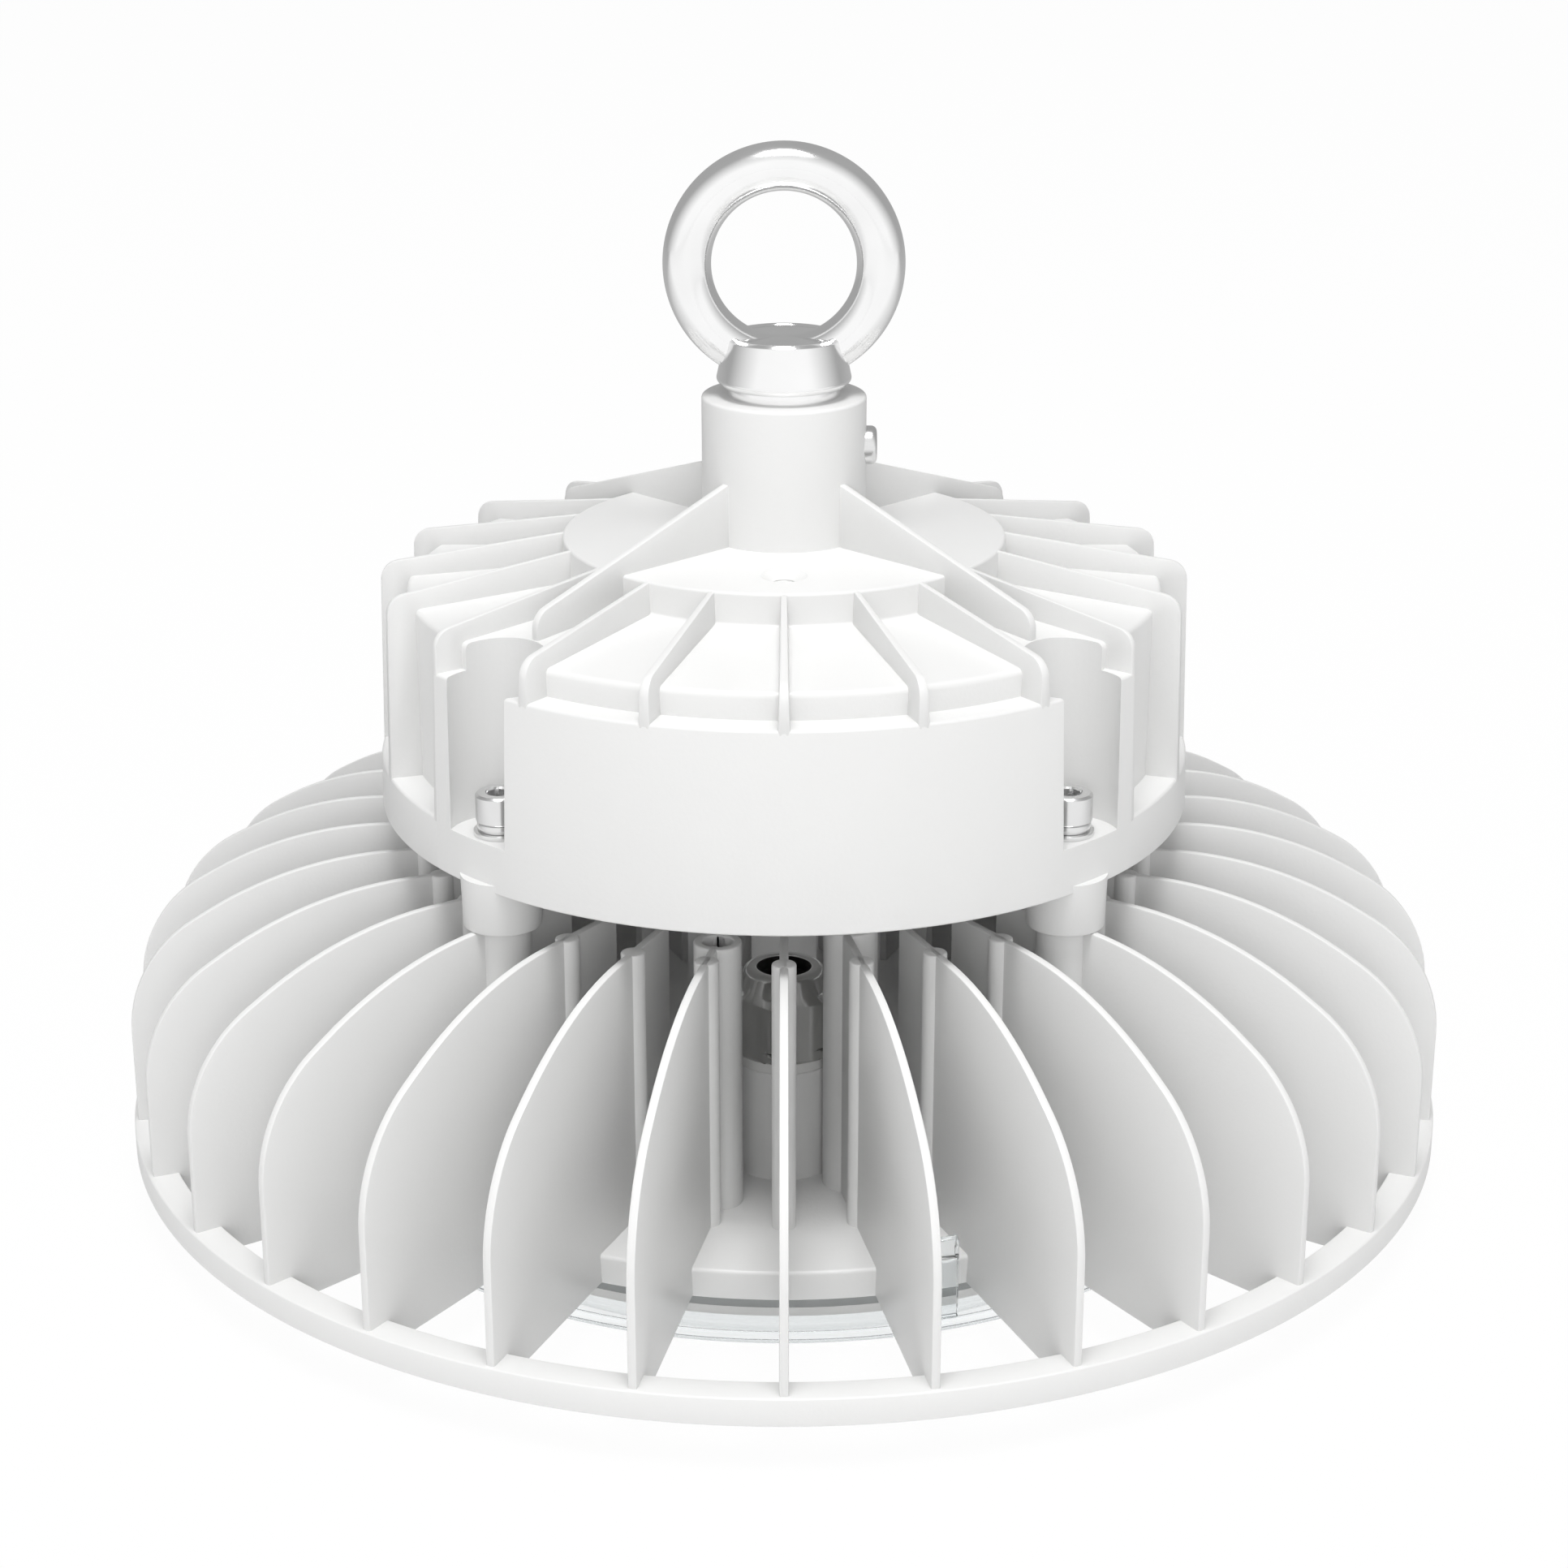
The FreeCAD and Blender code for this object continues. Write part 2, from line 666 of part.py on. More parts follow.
def cable_bush():
    """Rubber bush that lines the plate's hole, with a flange on each side."""
    neck = bush_neck_d / 2
    flange = bush_flange_d / 2
    bush = lathe([(bush_bore_d / 2, drum_z - bush_flange_t), (flange, drum_z - bush_flange_t),
                  (flange, drum_z), (neck, drum_z), (neck, plate_top_z), (flange, plate_top_z),
                  (flange, plate_top_z + bush_flange_t),
                  (bush_bore_d / 2, plate_top_z + bush_flange_t)])
    return moved(bush, gland_at)


# ---- mounting hardware --------------------------------------------------------------------
def flat_washers():
    washer = collar(screw_d / 2 + 2 * clearance, flat_washer_d / 2, pocket_floor_z,
                    pocket_floor_z + flat_washer_t, polar(column_circle_r, 0))
    return Part.makeCompound(pocket_copies(washer))


def spring_washers():
    low = pocket_floor_z + flat_washer_t
    high = low + spring_washer_t
    inner = screw_d / 2 + clearance
    outer = spring_washer_d / 2
    washer = lathe([(inner, low), (outer - washer_chamfer, low), (outer, low + washer_chamfer),
                    (outer, high - washer_chamfer), (outer - washer_chamfer, high),
                    (inner, high)])
    slit = Part.makeBox(spring_washer_slit, outer, spring_washer_t,
                        Vector(-spring_washer_slit / 2, 0, low))
    washer = moved(washer.cut(slit), polar(column_circle_r, 0))
    return Part.makeCompound(pocket_copies(washer))


def mounting_screws():
    low = pocket_floor_z + flat_washer_t + spring_washer_t
    top = low + screw_head_h
    radius = screw_head_d / 2
    head = lathe([(0, low), (radius - screw_chamfer, low), (radius, low + screw_chamfer),
                  (radius, top - screw_chamfer), (radius - screw_chamfer, top), (0, top)])
    socket = hexagon(screw_socket_af, top - screw_socket_depth, top)
    shank = rod(screw_d / 2, fin_top_z - screw_grip, low)
    screw = moved(joined([head.cut(socket), shank]), polar(column_circle_r, 0))
    return Part.makeCompound(pocket_copies(screw))


def eye_bolt():
    """Forged eye on a tapered collar, with the spigot and shank that enter the stem."""
    belly = collar_z + collar_belly_h
    body = lathe([(0, stem_top_z - eye_thread_l), (eye_thread_d / 2 - clearance,
                                                   stem_top_z - eye_thread_l),
                  (eye_thread_d / 2 - clearance, stem_top_z), (spigot_d / 2, stem_top_z),
                  (spigot_d / 2, collar_z), (collar_foot_d / 2, collar_z),
                  (collar_max_d / 2, belly, collar_belly_h),
                  (collar_top_d / 2, collar_top_z - collar_lip),
                  (collar_top_d / 2 - collar_lip, collar_top_z),
                  (collar_dish_r, collar_top_z), (collar_dish_r - collar_dish,
                                                  collar_top_z - collar_dish),
                  (0, collar_top_z - collar_dish)])
    ring = Part.makeTorus(eye_r, eye_wire_d / 2, Vector(0, 0, eye_z), Vector(0, 1, 0))
    return body.fuse(ring)


def stem_lock_screw():
    """Button head screw through the side of the stem, with its tip on the eye bolt's shank."""
    seat = stem_r - lock_seat_sink
    top = seat + lock_head_h
    radius = lock_head_d / 2
    head = lathe([(0, seat), (radius, seat), (radius, top, lock_head_round), (0, top)])
    socket = hexagon(lock_socket_af, top - lock_socket_depth, top)
    shank = rod(lock_screw_d / 2 - clearance / 2, eye_thread_d / 2, seat)
    screw = joined([head.cut(socket), shank])
    screw.rotate(origin, Vector(0, 1, 0), 90)
    return moved(screw, Vector(0, 0, stem_top_z + lock_screw_h))


# ---- write every sub-part -----------------------------------------------------------------
makers = {
    "heatsink": heatsink,
    "thermal_pad": thermal_pad,
    "led_board": led_board,
    "led_chips": led_chips,
    "board_screws": board_screws,
    "terminal_block": terminal_block,
    "optic_plate": optic_plate,
    "lens_gasket": lens_gasket,
    "lens_cover": lens_cover,
    "gland_washer": gland_washer,
    "gland_body": gland_body,
    "gland_seal": gland_seal,
    "gland_cap_nut": gland_cap_nut,
    "driver_housing": driver_housing,
    "vent_plug": vent_plug,
    "driver_unit": driver_unit,
    "driver_base_plate": base_plate,
    "driver_gasket": driver_gasket,
    "driver_plate_screws": driver_plate_screws,
    "cable_bush": cable_bush,
    "flat_washers": flat_washers,
    "spring_washers": spring_washers,
    "mounting_screws": mounting_screws,
    "eye_bolt": eye_bolt,
    "stem_lock_screw": stem_lock_screw,
}

os.makedirs("parts", exist_ok=True)
for node, make in makers.items():
    shape = make()
    shape.exportStep("parts/" + node + ".step")
    print(node, len(shape.Solids), "solid", shape.isValid(), round(shape.Volume / 1000, 2), "cm3")
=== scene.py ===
"""High bay light: white castings, eye bolt, cable gland, clear lens, fasteners and stage."""

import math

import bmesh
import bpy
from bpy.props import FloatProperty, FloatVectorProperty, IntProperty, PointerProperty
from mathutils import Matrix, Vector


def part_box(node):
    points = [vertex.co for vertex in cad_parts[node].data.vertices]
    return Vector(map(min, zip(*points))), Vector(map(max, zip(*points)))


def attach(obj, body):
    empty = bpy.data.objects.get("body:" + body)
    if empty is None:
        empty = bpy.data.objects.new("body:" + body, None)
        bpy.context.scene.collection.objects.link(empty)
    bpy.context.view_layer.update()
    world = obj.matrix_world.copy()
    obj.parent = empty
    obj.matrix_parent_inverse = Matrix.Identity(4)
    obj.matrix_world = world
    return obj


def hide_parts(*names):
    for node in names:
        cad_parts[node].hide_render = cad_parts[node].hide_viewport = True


bl_info = {
    "name": "High Bay Light",
    "version": (1, 0, 0),
    "blender": (4, 5, 0),
    "location": "3D View > Sidebar > High Bay Light",
    "description": "Makes a high bay light's castings, eye bolt, gland, lens, fasteners and stage",
    "category": "Add Mesh",
}

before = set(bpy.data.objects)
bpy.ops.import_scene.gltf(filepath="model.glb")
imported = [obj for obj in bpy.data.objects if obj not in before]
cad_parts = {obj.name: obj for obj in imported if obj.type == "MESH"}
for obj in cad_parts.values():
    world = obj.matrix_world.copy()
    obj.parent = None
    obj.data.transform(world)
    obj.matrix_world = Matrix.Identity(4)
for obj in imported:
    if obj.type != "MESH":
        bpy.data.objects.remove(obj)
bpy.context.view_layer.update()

MM = 0.001
BODY = "root"
HAIR = 0.01 * MM            # keeps the faces of a cut or a joint out of one plane
WELD = 0.0005 * MM          # points nearer than this become one
HEATSINK_ROOT = 2 * MM      # how deep fins and posts stand in the base disc
HOUSING_ROOT = 1.5 * MM     # how deep ribs and stem stand in the drum
NUT_CHAMFER = 1.2 * MM      # how far a nut's chamfer reaches in from its corners
NUT_LIMIT = 20.0            # degrees, keeps the chamfers of the hexagons crisp
FIN_FILLET_STEPS = 14       # points on each of a fin's roundings
WHITE = (1.0, 1.0, 1.0, 1.0)
SHAPE, LEVEL, COLOUR, MATERIAL = (
    "NodeSocket" + kind for kind in ("Geometry", "Float", "Color", "Material"))


# ---- sizes and colours that a user would change -------------------------------------------


def low(node):
    """Lowest corner of a CAD node, in millimetres."""
    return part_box(node)[0] / MM


def high(node):
    """Highest corner of a CAD node, in millimetres."""
    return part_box(node)[1] / MM


def size(millimetres, about):
    return FloatProperty(description=about, default=millimetres * MM, unit="LENGTH", precision=5)


def turn(degrees, about):
    return FloatProperty(description=about, default=math.radians(degrees), subtype="ANGLE")


def number(count, about):
    return IntProperty(description=about, default=count, min=1, max=512)


def tint(value, about):
    return FloatVectorProperty(description=about, default=value, subtype="COLOR", min=0.0, max=1.0)


def share(value, about):
    return FloatProperty(description=about, default=value, min=0.0, max=2.0)


def watts(value, about):
    return FloatProperty(description=about, default=value, min=0.0, unit="POWER")


def labelled(group):
    """Labels each property of a group with the name of its attribute."""
    for key, value in group.__annotations__.items():
        value.keywords["name"] = key.replace("_", " ").capitalize()
    return group


@labelled
class HeatsinkSizes(bpy.types.PropertyGroup):
    base_z: size(low("heatsink").z, "Height of the casting's underside")
    top_z: size(high("heatsink").z, "Height of the fins' flat top")
    ring_outer: size(high("heatsink").x, "Outer radius of the outer ring")
    ring_inner: size(162.5, "Inner radius of the outer ring")
    ring_height: size(7.0, "Height of the outer ring")
    disc_radius: size(115.4, "Radius of the base disc")
    disc_height: size(7.8, "Height of the base disc")
    recess_radius: size(high("led_board").x + 1.0, "Radius of the board's recess")
    recess_depth: size(4.0, "Depth of the board's recess")
    fin_count: number(32, "How many fins stand round the disc")
    fin_thickness: size(2.1, "Thickness of one fin")
    fin_inner: size(74.0, "Radius of a fin's inner edge")
    fin_outer: size(169.0, "Radius of a fin's outer edge")
    crown_radius: size(126.2, "Radius where the top and the slope would meet")
    crown_rounding: size(96.0, "Rounding between the top and the slope")
    shoulder_height: size(51.0, "Height where the slope and the outer edge would meet")
    shoulder_rounding: size(34.0, "Rounding between the slope and the outer edge")
    post_diameter: size(5.8, "Diameter of the small post on each fin")
    post_pitch: size(92.2, "Radius of the posts' circle")
    column_diameter: size(13.4, "Diameter of the four housing columns")
    column_pitch: size(95.0, "Radius of the columns' circle")
    column_angle: turn(45.0, "Angle of the first column from the front")
    boss_count: number(4, "How many columns, bosses and pillars there are of each kind")
    boss_diameter: size(11.5, "Diameter of the four drilled bosses")
    boss_hole: size(7.1, "Diameter of a boss's hole")
    boss_depth: size(20.0, "Depth of a boss's hole")
    boss_pitch: size(80.2, "Radius of the bosses' circle")
    boss_angle: turn(-11.25, "Angle of the first boss from the front")
    pillar_diameter: size(13.1, "Diameter of the four plain pillars")
    pillar_pitch: size(70.9, "Radius of the pillars' circle")
    pillar_angle: turn(13.0, "Angle of the first pillar from the front")
    centre_diameter: size(17.0, "Diameter of the post on the axis")
    riser_diameter: size(26.0, "Diameter of the riser under the gland")
    edge: size(0.45, "Rounding of the casting's edges")


@labelled
class HousingSizes(bpy.types.PropertyGroup):
    drum_z: size(low("driver_base_plate").z, "Height of the drum's underside")
    foot_z: size(low("driver_housing").z, "Height of the feet's underside")
    stem_z: size(high("driver_housing").z, "Height of the stem's top")
    drum_radius: size(high("driver_housing").x, "Radius of the drum at its underside")
    drum_draft: share(0.0216, "How much the drum narrows for each unit of height")
    plate_radius: size(high("driver_base_plate").x + 0.1, "Radius of the base plate's recess")
    plate_depth: size(3.5, "Depth of the base plate's recess")
    rim_height: size(13.1, "Height of the rim all round")
    ledge_height: size(49.1, "Height of the front and back ledges")
    wall_radius: size(94.5, "Radius of the wall between the ribs")
    shoulder_height: size(55.6, "Height of the wall's top")
    terrace_height: size(59.1, "Height where the terrace meets the disc")
    disc_radius: size(55.5, "Radius of the top disc")
    disc_height: size(67.1, "Height of the top disc")
    sector_half: turn(54.0, "Half the angle that the front sector spans")
    rib_count: number(20, "How many ribs stand round the disc")
    rib_thickness: size(1.5, "Thickness of a rib at its top")
    rib_slope: share(0.18, "Fall of a rib's top edge for each unit of radius")
    rib_rounding: size(5.0, "Rounding of a rib's outer corner")
    short_draft: share(0.036, "Draft of the ribs over the ledges")
    long_draft: share(0.014, "Draft of the ribs over the side panels")
    stem_radius: size(20.42, "Radius of the central stem")
    stem_rib_height: size(16.2, "Height of a stem rib above the disc")
    stem_rib_end: size(82.6, "Radius where a stem rib ends")
    stem_rib_drop: size(4.2, "Drop of a stem rib's end under the disc's top")
    stem_rib_thickness: size(2.2, "Thickness of a stem rib")
    pocket_count: number(4, "How many screw pockets, feet and stem ribs there are of each kind")
    pocket_radius: size(12.0, "Radius of a screw pocket")
    pocket_pitch: size(95.0, "Radius of the pockets' circle")
    pocket_floor: size(11.8, "Height of a pocket's floor over the drum's underside")
    pocket_angle: turn(45.0, "Angle of the first pocket from the front")
    foot_diameter: size(18.8, "Diameter of a foot at its underside")
    foot_draft: share(0.036, "How much a foot widens for each unit of height")
    vent_pitch: size(40.0, "Distance of the vent from the axis")
    vent_sink: size(11.2, "Diameter of the vent's countersink")
    vent_depth: size(1.8, "Depth of the vent's countersink")
    vent_hole: size(5.7, "Diameter of the vent's hole")
    edge: size(0.4, "Rounding of the casting's edges")


@labelled
class EyeSizes(bpy.types.PropertyGroup):
    low_z: size(low("eye_bolt").z, "Height of the shank's end")
    seat_z: size(high("driver_housing").z, "Height of the stem's top")
    top_z: size(high("eye_bolt").z, "Height of the eye's top")
    wire: size(11.85, "Diameter of the eye's round bar")
    outside: size(high("eye_bolt").x, "Outer radius of the eye")
    spigot: size(28.1, "Diameter of the spigot under the collar")
    spigot_height: size(2.75, "Height of the spigot")
    collar_height: size(12.2, "Height of the tapered collar")
    collar_foot: size(31.4, "Diameter of the collar's underside")
    collar_belly: size(33.5, "Largest diameter of the collar")
    belly_height: size(1.3, "Height of the collar's largest diameter above its underside")
    collar_top: size(29.1, "Diameter of the collar's top")
    shank: size(15.8, "Diameter of the threaded shank")


@labelled
class GlandSizes(bpy.types.PropertyGroup):
    low_z: size(high("gland_washer").z, "Height of the body's hexagon underside")
    cap_z: size(low("gland_cap_nut").z, "Height of the cap nut's underside")
    top_z: size(high("gland_cap_nut").z, "Height of the cap nut's top")
    across_flats: size(24.0, "Width of both hexagons across their flats")
    corner_angle: turn(-13.0, "Angle of a hexagon corner from the front")
    mouth: size(13.2, "Diameter of the mouth")
    dome: size(5.0, "Height of the dome above the hexagon")
    dome_top: size(18.4, "Diameter of the dome's flat top")
    thread: size(17.6, "Diameter of the thread under the cap nut")
    thread_pitch: size(1.5, "Pitch of the body's thread")


@labelled
class LensSizes(bpy.types.PropertyGroup):
    flange_radius: size(120.5, "Radius of the cover's flange")
    flange_height: size(1.5, "Thickness of the cover's flange")
    step_radius: size(117.7, "Radius of the flange's upper step")
    step_height: size(0.5, "Height of the flange's upper step")
    window_radius: size(108.0, "Radius of the dished window")
    window_drop: size(3.0, "How far the window stands below the flange")
    wall: size(2.5, "Thickness of the window")
    optic_rim: size(3.8, "Width of the optic plate's raised rim")
    optic_wall: size(2.0, "Thickness of the optic plate inside its rim")
    clip_count: number(4, "How many clips hold the cover")
    clip_angle: turn(16.9, "Angle of the first clip from the front")
    clip_width: size(14.0, "Width of a clip")
    clip_thickness: size(2.0, "Thickness of a clip")
    clip_hook: size(2.6, "How far a clip's hook reaches inwards")
    clip_rise: size(6.5, "How far a clip rises above the base disc")
    clip_gap: size(0.3, "Gap between a clip and the base disc")
    package_pitch: size(15.7, "Distance between light packages on a ring")
    package_first: size(30.0, "Radius of the first ring of packages")
    package_step: size(20.0, "Distance between rings of packages")
    package_rings: number(4, "How many rings of packages there are")
    package_size: size(3.0, "Width of one light package")


@labelled
class FastenerSizes(bpy.types.PropertyGroup):
    pitch: size(95.0, "Radius of the mounting screws' circle")
    count: number(4, "How many mounting screws there are")
    angle: turn(45.0, "Angle of the first mounting screw from the front")
    shank: size(6.0, "Diameter of a mounting screw's shank")
    head: size(11.3, "Diameter of a mounting screw's head")
    head_height: size(7.1, "Height of a mounting screw's head")
    socket: size(5.5, "Width of a mounting screw's socket across its flats")
    socket_depth: size(3.6, "Depth of a mounting screw's socket")
    spring_washer: size(10.8, "Outer diameter of a spring washer")
    flat_washer: size(12.5, "Outer diameter of a flat washer")
    slit: size(1.2, "Width of a spring washer's slit")
    lock_head: size(9.6, "Diameter of the stem screw's head")
    lock_socket: size(3.0, "Width of the stem screw's socket across its flats")


@labelled
class Finish(bpy.types.PropertyGroup):
    coat: tint((0.77, 0.77, 0.765), "Colour of the white powder coat")
    steel: tint((0.80, 0.80, 0.80), "Colour of the bright steel")
    polish: tint((0.93, 0.93, 0.93), "Colour of the polished eye")
    nickel: tint((0.82, 0.82, 0.81), "Colour of the plated gland")
    clear: tint((0.96, 0.98, 0.985), "Colour of the clear lens and optic")
    rubber: tint((0.03, 0.03, 0.03), "Colour of the black rubber")
    seal: tint((0.72, 0.72, 0.71), "Colour of the pale silicone seals")
    board: tint((0.86, 0.86, 0.83), "Colour of the board's white mask")
    phosphor: tint((0.86, 0.70, 0.20), "Colour of the light packages' phosphor")
    potting: tint((0.16, 0.16, 0.17), "Colour of the driver's case")


@labelled
class StageSizes(bpy.types.PropertyGroup):
    camera_distance: size(761.5, "Distance of the camera in front of the axis")
    camera_height: size(374.8, "Height of the camera")
    camera_pitch: turn(69.99, "Tilt of the camera from straight down")
    lens: FloatProperty(description="Focal length in millimetres", default=72.1, min=1.0)
    floor_width: size(8000.0, "Width of the floor")
    key_power: watts(33.0, "Power of the large lamp in front")
    fill_power: watts(8.0, "Power of the low lamp in front")
    world_low: share(0.1, "Brightness of the surroundings behind and below")
    world_high: share(0.85, "Brightness of the surroundings in front and above")
    tent_front: share(1.05, "How bright reflections see the surroundings in front")
    tent_back: share(0.4, "How bright reflections see the surroundings behind")


# ---- node trees ---------------------------------------------------------------------------


class Wiring:
    """Adds nodes to a tree and feeds their sockets with values or other nodes' outputs."""

    def __init__(self, tree):
        self.tree = tree

    def add(self, kind, sockets=None, **settings):
        node = self.tree.nodes.new(kind)
        for name, value in settings.items():
            setattr(node, name, value)
        self.feed_all(node, sockets or {})
        return node

    def feed_all(self, node, sockets):
        for name, value in sockets.items():
            self.feed(node.inputs[name], value)

    def feed(self, socket, value):
        if isinstance(value, bpy.types.Node):
            value = value.outputs[0]
        if isinstance(value, bpy.types.NodeSocket):
            self.tree.links.new(value, socket)
        else:
            socket.default_value = value

    def maths(self, operation, first, second=0.0):
        return self.add("ShaderNodeMath", {0: first, 1: second}, operation=operation)

    def vector(self, x=0.0, y=0.0, z=0.0):
        return self.add("ShaderNodeCombineXYZ", {"X": x, "Y": y, "Z": z})

    def parts(self, vector):
        """The X, Y and Z outputs of a vector."""
        return self.add("ShaderNodeSeparateXYZ", {"Vector": vector}).outputs

    def scaled(self, colour, factor):
        node = self.add("ShaderNodeVectorMath", {0: colour}, operation="SCALE")
        self.feed(node.inputs["Scale"], factor)
        return node.outputs[0]

    def spread(self, value, start, end, first, last):
        """A value between start and end, mapped to run from first to last."""
        sockets = {"Value": value, "From Min": start, "From Max": end,
                   "To Min": first, "To Max": last}
        return self.add("ShaderNodeMapRange", sockets).outputs["Result"]

    def noise(self, place, scale, detail=2.0, roughness=0.5):
        sockets = {"Vector": place, "Scale": scale, "Detail": detail, "Roughness": roughness}
        return self.add("ShaderNodeTexNoise", sockets).outputs["Fac"]

    def glow(self, kind, strength):
        """White emission or background of a strength."""
        return self.add(kind, {"Color": WHITE, "Strength": strength})

    def mixed(self, factor, first, second):
        return self.add("ShaderNodeMixShader", {0: factor, 1: first, 2: second})

    def sight(self):
        """Whether a ray is a reflection, and whether it is the camera's, also through the lens."""
        seen = self.add("ShaderNodeLightPath").outputs
        direct = self.maths("MAXIMUM", seen["Is Camera Ray"], seen["Is Transmission Ray"])
        return seen["Is Glossy Ray"], direct


def new_tree(name, kind, inputs, outputs):
    """Node group with inputs {name: (socket type, default)} and outputs {name: socket type}.

    Returns its wiring, its input node and its output node."""
    tree = bpy.data.node_groups.new(name, kind)
    for socket_name, (socket_type, default) in inputs.items():
        socket = tree.interface.new_socket(name=socket_name, in_out="INPUT",
                                           socket_type=socket_type)
        if default is not None:
            socket.default_value = default
    for socket_name, socket_type in outputs.items():
        tree.interface.new_socket(name=socket_name, in_out="OUTPUT", socket_type=socket_type)
    wiring = Wiring(tree)
    return wiring, wiring.add("NodeGroupInput"), wiring.add("NodeGroupOutput")


def spun_copies(wiring, shape, count, first, material):
    """Nodes that spread copies of a front shape round the axis and give them a material."""
    points = wiring.add("GeometryNodePoints", {"Count": count})
    step = wiring.maths("DIVIDE", math.tau, count)
    index = wiring.add("GeometryNodeInputIndex")
    angle = wiring.maths("ADD", wiring.maths("MULTIPLY", index, step), first)
    rotation = wiring.add("FunctionNodeEulerToRotation", {"Euler": wiring.vector(z=angle)})
    sockets = {"Points": points, "Instance": shape, "Rotation": rotation}
    copies = wiring.add("GeometryNodeInstanceOnPoints", sockets)
    real = wiring.add("GeometryNodeRealizeInstances", {"Geometry": copies})
    return wiring.add("GeometryNodeSetMaterial", {"Geometry": real, "Material": material})


def copies_tree():
    """Spreads the piece it is put on evenly round the light's axis."""
    inputs = {"Geometry": (SHAPE, None), "Count": ("NodeSocketInt", 4),
              "First Angle": (LEVEL, 0.0), "Material": (MATERIAL, None)}
    wiring, inside, outside = new_tree("Copies Round The Axis", "GeometryNodeTree", inputs,
                                       {"Geometry": SHAPE})
    done = spun_copies(wiring, *(inside.outputs[name] for name in inputs))
    wiring.feed(outside.inputs["Geometry"], done)
    return wiring.tree


def pick(wiring, kind, values):
    """One of several values, by the index of the point that asks."""
    node = wiring.add("GeometryNodeIndexSwitch", data_type=kind)
    while len(node.index_switch_items) < len(values):
        node.index_switch_items.new()
    wiring.feed(node.inputs["Index"], wiring.add("GeometryNodeInputIndex"))
    for place, value in enumerate(values):
        wiring.feed(node.inputs[place + 1], value)
    return node.outputs[0]


def fins_tree():
    """Draws a fin's outline from its sizes, rounds its crown and shoulder, spreads the fins."""
    names = ("Thickness", "Inside", "Outside", "Disc Edge", "Underside", "Root", "Top",
             "Crown Corner", "Crown Rounding", "Shoulder", "Shoulder Rounding")
    inputs = {"Geometry": (SHAPE, None), "Count": ("NodeSocketInt", 32)}
    inputs.update({name: (LEVEL, 0.0) for name in names})
    inputs["Material"] = (MATERIAL, None)
    wiring, inside, outside = new_tree("Heatsink Fins", "GeometryNodeTree", inputs,
                                       {"Geometry": SHAPE})
    value = inside.outputs
    corners = [wiring.vector(value[across], value[up]) for across, up in (
        ("Inside", "Root"), ("Inside", "Top"), ("Crown Corner", "Top"), ("Outside", "Shoulder"),
        ("Outside", "Underside"), ("Disc Edge", "Underside"), ("Disc Edge", "Root"))]
    roundings = [0.0, 0.0, value["Crown Rounding"], value["Shoulder Rounding"], 0.0, 0.0, 0.0]
    line = wiring.add("GeometryNodeMeshLine", {"Count": len(corners)})
    placed = wiring.add("GeometryNodeSetPosition",
                        {"Geometry": line, "Position": pick(wiring, "VECTOR", corners)})
    curve = wiring.add("GeometryNodeMeshToCurve", {"Mesh": placed})
    closed = wiring.add("GeometryNodeSetSplineCyclic", {"Geometry": curve, "Cyclic": True})
    fillet = wiring.add("GeometryNodeFilletCurve", {"Curve": closed, "Limit Radius": True},
                        mode="POLY")
    wiring.feed_all(fillet, {"Count": FIN_FILLET_STEPS,
                             "Radius": pick(wiring, "FLOAT", roundings)})
    face = wiring.add("GeometryNodeFillCurve", {"Curve": fillet}, mode="NGONS")
    pushed = wiring.add("GeometryNodeExtrudeMesh", {
        "Mesh": face, "Individual": False, "Offset": wiring.vector(z=value["Thickness"]),
        "Offset Scale": 1.0})
    back = wiring.add("GeometryNodeFlipFaces", {"Mesh": face})
    shell = wiring.add("GeometryNodeJoinGeometry")
    wiring.feed(shell.inputs[0], pushed)
    wiring.feed(shell.inputs[0], back)
    sealed = wiring.add("GeometryNodeMergeByDistance", {"Geometry": shell, "Distance": 2 * WELD})
    half = wiring.maths("MULTIPLY", value["Thickness"], -0.5)
    centred = wiring.add("GeometryNodeTransform",
                         {"Geometry": sealed, "Translation": wiring.vector(z=half)})
    upright = wiring.add("GeometryNodeTransform",
                         {"Geometry": centred, "Rotation": (math.pi / 2, 0.0, -math.pi / 2)})
    done = spun_copies(wiring, upright, value["Count"], 0.0, value["Material"])
    wiring.feed(outside.inputs["Geometry"], done)
    return wiring.tree


def tree(maker):
    """A node tree by its maker, made the first time it is asked for."""
    made = tree.made
    if maker not in made:
        made[maker] = maker()
    return made[maker]


tree.made = {}


def grow(piece, maker, values):
    """Runs a geometry tree on a piece and keeps the result as its plain mesh."""
    group = tree(maker)
    modifier = piece.modifiers.new("Grow", "NODES")
    modifier.node_group = group
    for socket in group.interface.items_tree:
        if socket.in_out == "INPUT" and socket.name in values:
            modifier[socket.identifier] = values[socket.name]
    return flatten(piece)


def flatten(piece):
    """Turns a piece and its modifiers into a plain mesh."""
    bpy.context.view_layer.update()
    evaluated = piece.evaluated_get(bpy.context.evaluated_depsgraph_get())
    mesh = bpy.data.meshes.new_from_object(evaluated)
    piece.modifiers.clear()
    old = piece.data
    piece.data = mesh
    bpy.data.meshes.remove(old)
    mesh.name = piece.name
    return piece


# ---- mesh helpers -------------------------------------------------------------------------


